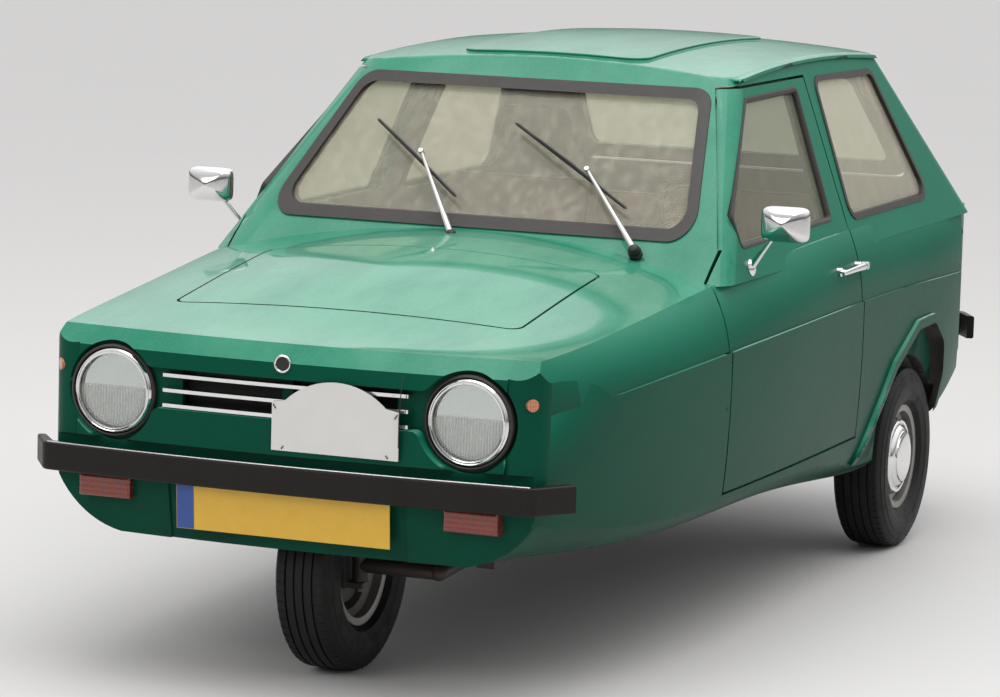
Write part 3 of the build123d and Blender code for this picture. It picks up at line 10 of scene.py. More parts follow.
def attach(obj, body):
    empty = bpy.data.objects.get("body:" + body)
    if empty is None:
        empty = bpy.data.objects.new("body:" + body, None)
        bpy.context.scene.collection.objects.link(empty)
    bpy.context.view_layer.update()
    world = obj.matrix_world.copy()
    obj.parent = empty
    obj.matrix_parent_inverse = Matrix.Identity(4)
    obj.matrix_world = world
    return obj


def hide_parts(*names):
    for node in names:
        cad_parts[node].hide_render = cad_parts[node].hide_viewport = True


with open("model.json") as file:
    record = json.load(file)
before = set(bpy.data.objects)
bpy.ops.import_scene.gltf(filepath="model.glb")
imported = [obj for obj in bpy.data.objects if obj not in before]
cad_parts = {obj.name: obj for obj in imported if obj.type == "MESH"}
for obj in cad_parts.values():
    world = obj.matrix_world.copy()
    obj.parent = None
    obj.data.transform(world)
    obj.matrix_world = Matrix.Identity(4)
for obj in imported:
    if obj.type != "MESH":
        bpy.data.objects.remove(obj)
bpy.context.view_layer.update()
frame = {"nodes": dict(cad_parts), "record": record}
nodes = frame["nodes"]
bodyOf = {node: body for body, names in frame["record"]["behaviour"]["bodies"].items() for node in names}
print("frame loaded:", len(nodes), "nodes")

# Centres of the wheels and of the left headlamp's face, in metres, as in the CAD part
wheelCentres = {"front": (0.0, -1.292, 0.245), "left": (0.617, 0.867, 0.245), "right": (-0.617, 0.867, 0.245)}
lampPlace = (0.432, -1.610, 0.648)
carSides = (("left", 1), ("right", -1))

# Camera, fitted to the photo by the car's wheels and lamps
cameraUser = {
    "place": (3.916, -10.003, 2.072), "yaw": 22.14, "pitch": 7.89, "roll": 1.63, "focalPixels": 4241.0,
    "imageWidth": 1000.0, "sensor": 36.0
}


def makeCamera(user):
    yaw, pitch, roll = (math.radians(user[k]) for k in ("yaw", "pitch", "roll"))
    ahead = Vector((-math.sin(yaw) * math.cos(pitch), math.cos(yaw) * math.cos(pitch), -math.sin(pitch)))
    right = Vector((math.cos(yaw), math.sin(yaw), 0))
    up = right.cross(ahead)
    tiltedRight = right * math.cos(roll) + up * math.sin(roll)
    tiltedUp = up * math.cos(roll) - right * math.sin(roll)
    data = bpy.data.cameras.new("photoCamera")
    data.sensor_width = user["sensor"]
    data.lens = user["focalPixels"] * user["sensor"] / user["imageWidth"]
    data.clip_end = 100
    camera = bpy.data.objects.new("photoCamera", data)
    bpy.context.collection.objects.link(camera)
    turn = Matrix((tiltedRight, tiltedUp, -ahead)).transposed()
    camera.matrix_world = Matrix.Translation(user["place"]) @ turn.to_4x4()
    bpy.context.scene.camera = camera


def wired(tree, kinds, links):
    # adds nodes by kind and joins them; a link is (node, outlet, node, inlet)
    made = {key: tree.nodes.new(kind) for key, kind in kinds.items()}
    for a, outlet, b, inlet in links:
        tree.links.new(made[a].outputs[outlet], made[b].inputs[inlet])
    return made


def linked(name, mesh):
    piece = bpy.data.objects.new(name, mesh)
    bpy.context.collection.objects.link(piece)
    return piece


def areaLight(name, place, target, size, watts, tint=(1, 1, 1)):
    data = bpy.data.lights.new(name, "AREA")
    data.shape = "RECTANGLE"
    data.size, data.size_y = size
    data.energy = watts
    data.color = tint
    lamp = linked(name, data)
    lamp.location = place
    lamp.rotation_euler = (Vector(target) - Vector(place)).to_track_quat("-Z", "Y").to_euler()


makeCamera(cameraUser)
bpy.context.scene.view_settings.view_transform = "Standard"
print("camera set")


class Field:
    # one socket of a node tree, with the arithmetic a material needs
    def __init__(self, maker, socket):
        self.maker, self.socket = maker, socket

    def maths(self, operation, *others):
        return self.maker.node("ShaderNodeMath", {"operation": operation}, self, *others)

    def __add__(self, other):
        return self.maths("ADD", other)

    def __radd__(self, other):
        return self.maths("ADD", other)

    def __sub__(self, other):
        return self.maths("SUBTRACT", other)

    def __rsub__(self, other):
        return self.maker.node("ShaderNodeMath", {"operation": "SUBTRACT"}, other, self)

    def __mul__(self, other):
        return self.maths("MULTIPLY", other)

    def __rmul__(self, other):
        return self.maths("MULTIPLY", other)

    def power(self, other):
        return self.maths("POWER", other)

    def sine(self):
        return self.maths("SINE")

    def absolute(self):
        return self.maths("ABSOLUTE")

    def clamped(self):
        return self.maker.node("ShaderNodeMath", {"operation": "ADD", "use_clamp": True}, self, 0.0)


class Finish:
    # a material with one Principled shader; node() adds a node by type, settings and inputs
    def __init__(self, name):
        self.material = bpy.data.materials.new(name)
        self.material.use_nodes = True
        self.tree = self.material.node_tree
        self.shader = self.tree.nodes["Principled BSDF"]

    def node(self, kind, settings=None, *inputs, out=0, **named):
        made = self.tree.nodes.new(kind)
        for key, value in (settings or {}).items():
            setattr(made, key, value)
        for index, value in enumerate(inputs):
            self.feed(made.inputs[index], value)
        for key, value in named.items():
            self.feed(made.inputs[key.replace("_", " ")], value)
        return Field(self, made.outputs[out])

    def feed(self, socket, value):
        if isinstance(value, Field):
            self.tree.links.new(value.socket, socket)
        elif isinstance(value, (tuple, list)) and len(value) == 3 and socket.type == "RGBA":
            socket.default_value = (*value, 1)
        else:
            socket.default_value = value

    def place(self):
        return self.node("ShaderNodeTexCoord", {}, out=3)

    def parts(self, vector):
        split = self.tree.nodes.new("ShaderNodeSeparateXYZ")
        self.tree.links.new(vector.socket, split.inputs[0])
        return [Field(self, outlet) for outlet in split.outputs]

    def axes(self):
        return self.parts(self.place())

    def upwards(self):
        # 1 where the surface faces the sky, 0 where it is upright
        return self.parts(self.node("ShaderNodeNewGeometry", {}, out=1))[2]

    def noise(self, scale, detail=2.0, rough=0.5, stretch=None):
        where = self.place()
        if stretch:
            where = self.node("ShaderNodeMapping", {}, where, Scale=stretch)
        return self.node("ShaderNodeTexNoise", {}, Vector=where, Scale=scale, Detail=detail, Roughness=rough)

    def cells(self, scale):
        return self.node("ShaderNodeTexVoronoi", {}, Vector=self.place(), Scale=scale)

    def between(self, factor, a, b):
        made = self.tree.nodes.new("ShaderNodeMix")
        made.data_type = "RGBA"
        for socket, value in ((made.inputs[0], factor), (made.inputs[6], a), (made.inputs[7], b)):
            self.feed(socket, value)
        return Field(self, made.outputs[2])

    def spread(self, factor, low, high):
        return self.node("ShaderNodeMapRange", {}, factor, 0.0, 1.0, low, high)

    def fade(self, value, start, end):
        smooth = {"interpolation_type": "SMOOTHSTEP"}
        return self.node("ShaderNodeMapRange", smooth, value, start, end, 0.0, 1.0)

    def bump(self, height, depth, strength=1.0):
        return self.node("ShaderNodeBump", {}, Height=height, Distance=depth, Strength=strength)

    def set(self, **sockets):
        for key, value in sockets.items():
            self.feed(self.shader.inputs[key.replace("_", " ")], value)
        return self


# Finishes
def gelCoat(u):
    # wet gel coat: green with painted light and shade, lighter where it faces upward and darker where it
    # faces down; darker in patches towards the bottom; a pale film of fine drops where it faces the sky,
    # whose pale colour is partly the water and partly a painted sky reflection
    f = Finish("bodyPaint")
    z = f.axes()[2]
    up = f.upwards()
    # painted light and shade: the green goes from deep, its shaded colour, where the surface faces down to
    # bright, its lit colour, where it faces the sky
    tone = f.fade(up, *u["facingLightFade"]) * 0.80 + f.noise(u["cloudScale"], 3.0) * 0.20
    shade = f.between(tone, u["deep"], u["bright"])
    # darker in patches towards the bottom: the green is drawn towards a darker green below a set height
    lowDarkening = (1.0 - f.fade(z, *u["lowDarkFade"])) * f.fade(f.noise(9.0, 4.0), 0.35, 0.75)
    shade = f.between(lowDarkening * u["lowDark"], shade, u["lowDarkColor"])
    film = f.fade(up, *u["filmFade"])
    streaks = f.fade(f.noise(5.0, 5.0, 0.62, (1.0, 0.35, 1.0)), 0.30, 0.72)
    beads = f.fade(f.noise(300.0, 2.0), 0.50, 0.68)
    # partly painted sky reflection: where the surface faces the sky the green turns pale in streaks and
    # beads, both for the water film and for the sky it mirrors
    wetAndSkyShare = film * (streaks * u["streaks"] + beads * u["beads"] + u["film"])
    drops = (1.0 - f.fade(f.cells(u["dropScale"]), 0.10, 0.30)) * f.fade(f.noise(34.0, 2.0), 0.46, 0.62)
    rough = f.spread(f.noise(60.0, 3.0), u["smooth"], u["dull"]) + film * u["filmRough"]
    f.set(Base_Color=f.between(wetAndSkyShare, shade, u["filmAndSkyColor"]), Roughness=rough, IOR=u["ior"])
    f.set(Coat_Weight=f.spread(film, u["sideCoat"], u["topCoat"]), Coat_Roughness=u["coat"])
    f.set(Specular_IOR_Level=u["shine"])
    f.set(Normal=f.bump(drops * f.fade(up, *u["dropFade"]), u["dropHeight"], 0.6))
    return f.material


def plainFinish(name, color, rough, metal=0.0, grain=0.0, grainScale=400.0, tint=None, patch=6.0, sheen=0.0,
                shine=0.5):
    # a colour that drifts to its tint in soft patches, with a fine grain
    f = Finish(name)
    tone = f.noise(patch, 4.0)
    other = tint or tuple(c * 0.72 for c in color)
    f.set(Base_Color=f.between(tone, color, other), Metallic=metal, Sheen_Weight=sheen)
    f.set(Roughness=f.spread(f.noise(patch * 7.0, 4.0), max(rough - 0.08, 0.02), rough + 0.10))
    f.set(Specular_IOR_Level=shine)
    if grain:
        f.set(Normal=f.bump(f.noise(grainScale, 3.0), grain, 0.8))
    return f.material


def seenThrough(f, tint, share):
    # mixes the shader with clear glass; share is how much of the shader shows
    tree = f.tree
    see = tree.nodes.new("ShaderNodeBsdfTransparent")
    see.inputs[0].default_value = (*tint, 1)
    mix = tree.nodes.new("ShaderNodeMixShader")
    f.feed(mix.inputs[0], share.clamped())
    tree.links.new(see.outputs[0], mix.inputs[1])
    tree.links.new(f.shader.outputs[0], mix.inputs[2])
    tree.links.new(mix.outputs[0], tree.nodes["Material Output"].inputs[0])


def glancing(f):
    # how mirror-like a pane is from this direction, the same on both of its faces
    return f.node("ShaderNodeLayerWeight", {}, Blend=0.5, out=1).power(5.0) * 0.9 + 0.04


def windowGlass(name, u):
    # a pane with a thin even bloom of rain and faint runs down it
    f = Finish(name)
    runs = f.fade(f.noise(38.0, 4.0, 0.6, (1.0, 1.0, 0.10)), 0.40, 0.80)
    seenThrough(f, u["tint"], glancing(f) + u["haze"] + runs * u["runs"])
    f.set(Base_Color=u["bloom"], Roughness=f.spread(runs, 0.06, 0.22), Specular_IOR_Level=0.9)
    return f.material


def chromeFinish(name="chrome", rough=0.07, color=(0.78, 0.78, 0.77)):
    f = Finish(name)
    spots = f.fade(f.noise(160.0, 5.0, 0.7), 0.58, 0.72)
    f.set(Base_Color=f.between(spots * 0.5, color, (0.30, 0.27, 0.23)), Metallic=1.0,
          Roughness=f.spread(f.noise(30.0, 4.0), rough, rough + 0.10) + spots * 0.2)
    return f.material


def tyreRubber():
    f = Finish("tyreRubber")
    dust = f.fade(f.noise(24.0, 5.0, 0.65), 0.45, 0.75)
    f.set(Base_Color=f.between(dust * 0.5, (0.005, 0.005, 0.005), (0.026, 0.023, 0.019)))
    f.set(Roughness=f.spread(dust, 0.55, 0.85), Specular_IOR_Level=0.3)
    f.set(Normal=f.bump(f.noise(500.0, 3.0), 0.0004, 0.5))
    return f.material


def flutedLens(u):
    # clear pressed glass with upright flutes over its lower half
    f = Finish("lampGlass")
    x, y, z = f.axes()
    height = z - lampPlace[2]
    flutes = ((x.absolute() - lampPlace[0]) * u["flutes"]).sine() * 0.5 + 0.5
    bars = (height * u["bars"]).sine() * 0.5 + 0.5
    lower = 1.0 - f.fade(height, *u["edge"])
    seenThrough(f, u["tint"], glancing(f) + lower * (u["haze"] + flutes * u["fluteHaze"]) + 0.02)
    f.set(Base_Color=u["bloom"], Roughness=f.spread(lower, 0.04, 0.22))
    f.set(Normal=f.bump(lower * flutes + bars * lower * 0.2, u["relief"], 1.0))
    return f.material


def ribbedLens(name, color, dark, pitch):
    f = Finish(name)
    x, y, z = f.axes()
    ribs = (x * pitch).sine() * 0.5 + 0.5
    rows = (z * pitch * 0.5).sine() * 0.5 + 0.5
    f.set(Base_Color=f.between(ribs * 0.6 + rows * 0.3, color, dark), Roughness=f.spread(ribs, 0.10, 0.30))
    f.set(Coat_Weight=0.6, Normal=f.bump(ribs + rows * 0.5, 0.0008, 0.8))
    return f.material


def seatCloth(u):
    # woven cloth with a fine check, rubbed paler on its crowns
    f = Finish("seatCloth")
    x, y, z = f.axes()
    weave = ((x * u["threads"]).sine() * 0.5 + 0.5) * (((y + z) * u["threads"]).sine() * 0.5 + 0.5)
    broad = f.noise(7.0, 4.0)
    shade = f.between(weave * 0.35, f.between(broad, u["color"], u["dark"]), u["pale"])
    f.set(Base_Color=shade, Roughness=f.spread(broad, 0.78, 0.95), Sheen_Weight=0.3)
    f.set(Normal=f.bump(weave, 0.0006, 0.6))
    return f.material


# deep and bright are the shaded and lit greens of the gel coat's painted light and shade
paintUser = {
    "deep": (0.001, 0.042, 0.024), "bright": (0.008, 0.215, 0.126), "facingLightFade": (-0.10, 0.60),
    # the darker green, its share and the heights for the patches towards the bottom
    "cloudScale": 1.6, "lowDark": 0.5, "lowDarkColor": (0.012, 0.030, 0.020), "lowDarkFade": (0.28, 0.52),
    "smooth": 0.26, "dull": 0.36, "ior": 1.45, "shine": 0.07, "coat": 0.05, "sideCoat": 0.02,
    "topCoat": 0.70, "film": 0.05, "filmFade": (0.30, 0.95), "filmRough": 0.06,
    # the pale colour of the wet film, partly a painted sky reflection
    "filmAndSkyColor": (0.13, 0.42, 0.28), "streaks": 0.36, "beads": 0.18, "dropScale": 105.0,
    "dropHeight": 0.0010, "dropFade": (0.35, 0.80)
}
screenUser = {"tint": (0.88, 0.88, 0.82), "haze": 0.10, "runs": 0.08, "bloom": (0.85, 0.81, 0.66)}
sideUser = {"tint": (0.80, 0.82, 0.75), "haze": 0.08, "runs": 0.07, "bloom": (0.44, 0.43, 0.34)}
lensUser = {
    "tint": (0.93, 0.95, 0.95), "bloom": (0.62, 0.62, 0.58), "haze": 0.12, "fluteHaze": 0.26,
    "flutes": 900.0, "bars": 420.0, "edge": (0.004, 0.012), "relief": 0.0016
}
clothUser = {
    "color": (0.27, 0.055, 0.040), "dark": (0.16, 0.030, 0.024), "pale": (0.40, 0.12, 0.09),
    "threads": 2600.0
}
paint = gelCoat(paintUser)
screenGlass = windowGlass("screenGlass", screenUser)
sideGlass = windowGlass("sideGlass", sideUser)
lampGlass = flutedLens(lensUser)
cloth = seatCloth(clothUser)
tyreBlack = tyreRubber()
chrome = chromeFinish()
satinChrome = chromeFinish("satinChrome", 0.20, (0.62, 0.62, 0.61))
lampBowl = chromeFinish("lampBowl", 0.10, (0.80, 0.80, 0.78))
mirrorFace = chromeFinish("mirrorFace", 0.03, (0.62, 0.64, 0.65))
amberLens = ribbedLens("indicatorLens", (0.26, 0.030, 0.008), (0.10, 0.010, 0.004), 1100.0)
paleAmber = ribbedLens("markerLens", (0.62, 0.24, 0.12), (0.42, 0.13, 0.06), 1400.0)
redLens = ribbedLens("tailLens", (0.36, 0.020, 0.014), (0.15, 0.008, 0.006), 1500.0)
sealRubber = plainFinish("sealRubber", (0.020, 0.017, 0.014), 0.50, grain=0.0005, tint=(0.036, 0.030, 0.025),
                         patch=14.0)
bumperRubber = plainFinish("bumperRubber", (0.006, 0.005, 0.004), 0.42, grain=0.0006,
                           tint=(0.013, 0.011, 0.009), patch=12.0, shine=0.25)
blackTrim = plainFinish("blackTrim", (0.014, 0.014, 0.014), 0.45, grain=0.0004)
weltVinyl = plainFinish("weltVinyl", (0.020, 0.016, 0.015), 0.40, tint=(0.035, 0.028, 0.025), patch=20.0)
# painted shade: a near-black finish for sheets set where openings show only shade
darkHole = plainFinish("darkHole", (0.003, 0.003, 0.003), 0.70, tint=(0.006, 0.006, 0.006))
underseal = plainFinish("underseal", (0.013, 0.012, 0.011), 0.85, grain=0.0020, grainScale=90.0,
                        tint=(0.024, 0.021, 0.018))
trimBoard = plainFinish("trimBoard", (0.10, 0.085, 0.070), 0.70, grain=0.0006, tint=(0.075, 0.062, 0.052))
headLining = plainFinish("headLining", (0.33, 0.31, 0.27), 0.85, grain=0.0005, tint=(0.27, 0.25, 0.22))
carpet = plainFinish("carpet", (0.035, 0.028, 0.025), 0.95, grain=0.0015, grainScale=700.0, sheen=0.3)
castMetal = plainFinish("castMetal", (0.16, 0.16, 0.155), 0.55, metal=0.7, grain=0.0010, grainScale=180.0,
                        tint=(0.08, 0.07, 0.065))
chassisPaint = plainFinish("chassisPaint", (0.018, 0.018, 0.018), 0.50, grain=0.0006,
                           tint=(0.045, 0.030, 0.022))
bareSteel = plainFinish("bareSteel", (0.30, 0.30, 0.29), 0.40, metal=0.9, tint=(0.18, 0.15, 0.13))
wheelSilver = plainFinish("wheelSilver", (0.36, 0.36, 0.35), 0.38, metal=0.6, tint=(0.20, 0.18, 0.155),
                          patch=20.0)
plateYellow = plainFinish("plateYellow", (0.78, 0.47, 0.045), 0.30, tint=(0.68, 0.40, 0.04), patch=30.0)
plateBlue = plainFinish("plateBlue", (0.030, 0.085, 0.33), 0.30, tint=(0.025, 0.070, 0.28))
plaqueWhite = plainFinish("plaqueWhite", (0.74, 0.73, 0.70), 0.35, tint=(0.66, 0.65, 0.62), patch=18.0)
print("finishes made")


# Mesh helpers: places are in metres, often made by mm(), while outlines and radii are in millimetres
def mm(*values):
    return Vector(v / 1000.0 for v in values)


def meshPiece(name, points, faces, finish, sharpAngle=35.0, smooth=True, facing=True):
    mesh = bpy.data.meshes.new(name)
    mesh.from_pydata([tuple(p) for p in points], [], faces)
    if facing:
        form = bmesh.new()
        form.from_mesh(mesh)
        bmesh.ops.remove_doubles(form, verts=form.verts, dist=1e-6)
        bmesh.ops.recalc_face_normals(form, faces=form.faces)
        form.to_mesh(mesh)
        form.free()
    if smooth:
        mesh.shade_smooth()
        mesh.set_sharp_from_angle(angle=math.radians(sharpAngle))
    mesh.materials.append(finish)
    return linked(name, mesh)


def flatFace(name, points, towards, finish):
    # one flat face, whose front looks along the given direction
    piece = meshPiece(name, points, [tuple(range(len(points)))], finish, facing=False)
    if piece.data.polygons[0].normal.dot(towards) < 0:
        piece.data.flip_normals()
    return piece


def thickGrid(name, place, rows, columns, finish, sharpAngle=35.0):
    # a closed sheet over a grid; place(layer, row, column) is a point of its front, layer 0, or back, layer 1
    points = [place(*spot) for spot in itertools.product(range(2), range(rows), range(columns))]
    back = rows * columns
    faces = []
    for layer, r, c in itertools.product((0, back), range(rows - 1), range(columns - 1)):
        i = layer + r * columns + c
        faces.append((i, i + 1, i + columns + 1, i + columns))
    for i, c in itertools.product((0, back - columns), range(columns - 1)):
        faces.append((i + c, i + c + 1, back + i + c + 1, back + i + c))
    for r, column in itertools.product(range(rows - 1), (0, columns - 1)):
        i = r * columns + column
        faces.append((i, i + columns, back + i + columns, back + i))
    return meshPiece(name, points, faces, finish, sharpAngle)


def joined(name, pieces):
    # several pieces as one mesh, with their finishes kept
    form = bmesh.new()
    mesh = bpy.data.meshes.new(name)
    finishes = []
    for piece in pieces:
        bpy.context.view_layer.update()
        finishes += [m for m in piece.data.materials if m not in finishes]
        own = [finishes.index(m) for m in piece.data.materials]
        part = bmesh.new()
        part.from_mesh(piece.data)
        part.transform(piece.matrix_world)
        for face in part.faces:
            face.material_index = own[face.material_index] if own else 0
        temporary = bpy.data.meshes.new("temporary")
        part.to_mesh(temporary)
        part.free()
        form.from_mesh(temporary)
        bpy.data.meshes.remove(temporary)
        bpy.data.objects.remove(piece)
    form.to_mesh(mesh)
    form.free()
    for m in finishes:
        mesh.materials.append(m)
    return linked(name, mesh)


def asMesh(piece, tree):
    # runs Geometry Nodes on the piece and keeps the result as a plain mesh
    modifier = piece.modifiers.new("Nodes", "NODES")
    modifier.node_group = tree
    bpy.context.view_layer.update()
    done = bpy.data.meshes.new_from_object(piece.evaluated_get(bpy.context.evaluated_depsgraph_get()))
    piece.modifiers.clear()
    old = piece.data
    piece.data = done
    bpy.data.meshes.remove(old)
    return piece


def rowFaces(count, width, closed=True, loop=True):
    # faces between rows of points; closed joins the last row to the first, loop the ends of each row
    faces = []
    for i in range(count if closed else count - 1):
        here, after = i * width, (i + 1) % count * width
        for k in range(width if loop else width - 1):
            m = (k + 1) % width
            faces.append((here + k, here + m, after + m, after + k))
    return faces


def lathed(name, outline, centre, axis, steps, finish, sharpAngle=35.0, loop=True):
    # turns an (along, radius) outline in millimetres about an axis through the centre
    axis = Vector(axis).normalized()
    side = axis.orthogonal().normalized()
    other = axis.cross(side)
    centre = Vector(centre)
    points = []
    for step in range(steps):
        turn = 2 * math.pi * step / steps
        out = side * math.cos(turn) + other * math.sin(turn)
        points += [centre + (axis * a + out * r) / 1000 for a, r in outline]
    return meshPiece(name, points, rowFaces(steps, len(outline), loop=loop), finish, sharpAngle)


def roundedLoop(corners, radius, steps=6):
    # a closed outline with each corner turned into an arc
    loop = []
    count = len(corners)
    for i in range(count):
        a, b, c = (Vector(corners[k % count]) for k in (i - 1, i, i + 1))
        toA, toC = a - b, c - b
        half = toA.angle(toC) / 2
        cut = min(radius / math.tan(half), toA.length * 0.49, toC.length * 0.49)
        r = cut * math.tan(half)
        start, end = b + toA.normalized() * cut, b + toC.normalized() * cut
        middle = b + (toA.normalized() + toC.normalized()).normalized() * (r / math.sin(half))
        first = math.atan2(start.y - middle.y, start.x - middle.x)
        last = math.atan2(end.y - middle.y, end.x - middle.x)
        sweepAngle = (last - first + math.pi) % (2 * math.pi) - math.pi
        for k in range(steps + 1):
            turn = first + sweepAngle * k / steps
            loop.append((middle.x + r * math.cos(turn), middle.y + r * math.sin(turn)))
    return loop


def resampled(loop, pitch):
    # adds points along the straight runs of a closed outline
    dense = []
    for (x0, y0), (x1, y1) in zip(loop, loop[1:] + loop[:1]):
        parts = max(1, round(math.hypot(x1 - x0, y1 - y0) / pitch))
        dense += [(x0 + (x1 - x0) * k / parts, y0 + (y1 - y0) * k / parts) for k in range(parts)]
    return dense


def loopNormals(loop):
    # unit vectors pointing out of a closed outline
    area = sum(x0 * y1 - x1 * y0 for (x0, y0), (x1, y1) in zip(loop, loop[1:] + loop[:1]))
    sign = 1 if area > 0 else -1
    outs = []
    count = len(loop)
    for i in range(count):
        (x0, y0), (x1, y1) = loop[i - 1], loop[(i + 1) % count]
        run = Vector((x1 - x0, y1 - y0)).normalized()
        outs.append(Vector((run.y, -run.x)) * sign)
    return outs


def framed(name, loop, lift, section, finish, sharpAngle=50.0):
    # a seal or lip that follows a closed outline; section is (inwards, height) in mm, closed;
    # lift(u, v, height) gives the place in space
    points = []
    for (u, v), out in zip(loop, loopNormals(loop)):
        for inwards, height in section:
            points.append(lift(u - out.x * inwards, v - out.y * inwards, height) / 1000.0)
    return meshPiece(name, points, rowFaces(len(loop), len(section)), finish, sharpAngle)


def tube(name, path, radius, finish, sides=10, closed=False, capped=True):
    # a round bar along a path; the radius, in millimetres, may be a list with one for each point
    radii = radius if isinstance(radius, list) else [radius] * len(path)
    count = len(path)
    points = []
    side = None
    for i, here in enumerate(path):
        before = path[i - 1] if i or closed else here
        after = path[(i + 1) % count] if i < count - 1 or closed else here
        run = (after - before).normalized()
        side = run.orthogonal() if side is None else side - run * side.dot(run)
        side.normalize()
        other = run.cross(side)
        for k in range(sides):
            turn = 2 * math.pi * k / sides
            points.append(here + (side * math.cos(turn) + other * math.sin(turn)) * radii[i] / 1000)
    faces = rowFaces(count, sides, closed)
    if capped and not closed:
        faces.append(tuple(range(sides)))
        faces.append(tuple(range((count - 1) * sides, count * sides)))
    return meshPiece(name, points, faces, finish, 50.0)


def roundedBox(name, low, high, radius, finish):
    form = bmesh.new()
    bmesh.ops.create_cube(form, size=1.0)
    for vert in form.verts:
        vert.co = Vector((low[i] if vert.co[i] < 0 else high[i]) for i in range(3))
    edges = form.edges[:]
    bmesh.ops.bevel(form, geom=edges, offset=radius / 1000, segments=3, profile=0.5, affect="EDGES")
    mesh = bpy.data.meshes.new(name)
    form.to_mesh(mesh)
    form.free()
    mesh.shade_smooth()
    mesh.set_sharp_from_angle(angle=math.radians(50))
    mesh.materials.append(finish)
    return linked(name, mesh)


def mirroredCopy(name, piece):
    mesh = piece.data.copy()
    form = bmesh.new()
    form.from_mesh(mesh)
    for vert in form.verts:
        vert.co.x = -vert.co.x
    bmesh.ops.reverse_faces(form, faces=form.faces)
    form.to_mesh(mesh)
    form.free()
    return linked(name, mesh)


def repaint(name, finish):
    # a CAD node keeps its shape and takes a finish
    node = nodes[name]
    for slot in node.material_slots:
        slot.material = finish


print("helpers ready")

# The body's outer surfaces as formulas in millimetres, so that the panels shade without facets
# Profiles are (y, z); rows are (y, half-width at the crease, shoulder's height, its half-width)
skinUser = {
    "nose": [(-1590, 100), (-1600, 315), (-1625, 460), (-1624, 538), (-1647, 543), (-1646, 640),
             (-1640, 748), (-1592, 797), (-1540, 850)],
    "recessFace": [(-1646, 500), (-1646, 800)], "noseAxis": 2704.0, "recess": 34.0, "plateRecess": 6.0,
    "tail": [(1585, 100), (1600, 480), (1616, 560), (1592, 850), (1540, 905), (1490, 960)],
    "tailAxis": -1384.0, "noseCorner": (531.6, -1536.0, 70.0), "tailCorner": (563.9, 1475.3, 75.0),
    "belt": 905.0, "half": 659.0, "sideLean": 0.375, "front": -611.6, "frontLean": 1.1006, "back": 1507.0,
    "backLean": 1.088, "frontCorner": 92.0, "rearCorner": 180.0, "rearFall": 0.207, "roofY": 450.0,
    "roofZ": 1364.0, "across": 4400.0, "along": 7600.0, "roofEdge": 32.0, "panelRise": 8.0, "reach": 1.6,
    "sideReach": 11.0, "agree": 0.90,
    "rows": [(-1690, 580, 780, 550), (-1178, 657, 816, 615), (-718, 692, 857, 640), (300, 703, 905, 662),
             (1000, 700, 900, 660), (1350, 688, 888, 655), (1690, 600, 845, 572)],
    "crease": (724.0, 300.0, 62600.0), "sideFacing": 0.75, "sideBand": 12, "aboveCrease": 3,
    "belowCrease": 4, "shoulderTop": 880, "sideEnd": (1460, 1480), "sideFoot": 430, "archY": (270, 1170),
    "archTop": 660, "hoodY": (-1560, -560), "hoodZ": (770, 960), "hoodFacing": 0.85,
    "sideDegrees": (7, 3), "sideScale": (1700.0, 900.0), "crownDegrees": (2, 5),
    "crownScale": (4.0e5, 1700.0)
}


def unitRows(rows):
    return rows / np.maximum(np.linalg.norm(rows, axis=1, keepdims=True), 1e-9)


def turnedFaces(p, profile, axisY, inset=0.0):
    # one (distance, normal) pair for each straight run of a profile turned about an upright axis
    radial = np.column_stack((p[:, 0], p[:, 1] - axisY))
    r = np.maximum(np.linalg.norm(radial, axis=1), 1e-6)
    radial = radial / r[:, None]
    found = []
    for (y0, z0), (y1, z1) in zip(profile, profile[1:]):
        r0, r1 = abs(y0 - axisY) - inset, abs(y1 - axisY) - inset
        length = math.hypot(r1 - r0, z1 - z0)
        nr, nz = (z1 - z0) / length, -(r1 - r0) / length
        distance = (r - r0) * nr + (p[:, 2] - z0) * nz
        distance = np.where((p[:, 2] > min(z0, z1) - 2) & (p[:, 2] < max(z0, z1) + 2), distance, 1e3)
        found.append((distance, np.column_stack((radial * nr, np.full(len(p), nz)))))
    return found


def uprightCorner(p, corner):
    x, y, radius = corner
    out = np.column_stack((np.abs(p[:, 0]) - x, p[:, 1] - y))
    away = np.linalg.norm(out, axis=1)
    unit = out / np.maximum(away, 1e-6)[:, None]
    normal = np.column_stack((unit[:, 0] * np.sign(p[:, 0]), unit[:, 1], np.zeros(len(p))))
    return away - radius, normal


def glasshouseSide(p, u):
    # the leaning walls and their round corners; distance is measured square to the wall
    rise = p[:, 2] - u["belt"]
    half = u["half"] - u["sideLean"] * rise
    front = u["front"] + u["frontLean"] * rise
    back = u["back"] - u["backLean"] * rise
    isRear = p[:, 1] > 300
    radius = np.where(isRear, u["rearCorner"] - u["rearFall"] * rise, u["frontCorner"])
    cx = half - radius
    cy = np.where(isRear, back - radius, front + radius)
    sy = np.where(isRear, 1.0, -1.0)
    dx = np.abs(p[:, 0]) - cx
    dy = (p[:, 1] - cy) * sy
    inCorner = (dx > 0) & (dy > 0)
    away = np.hypot(dx, dy)
    ux = np.where(inCorner, dx / np.maximum(away, 1e-6), np.where(dx > dy, 1.0, 0.0))
    uy = np.where(inCorner, dy / np.maximum(away, 1e-6), np.where(dx > dy, 0.0, 1.0))
    level = np.where(inCorner, away, np.maximum(dx, dy)) - radius
    fall = np.where(isRear, -u["rearFall"], 0.0)
    slopeX = -u["sideLean"] - fall
    slopeY = np.where(isRear, -u["backLean"], -u["frontLean"]) - fall
    k = slopeX * ux + slopeY * uy + fall
    size = np.sqrt(1 + k * k)
    normal = np.column_stack((ux * np.sign(p[:, 0]), uy * sy, -k)) / size[:, None]
    return level / size, normal


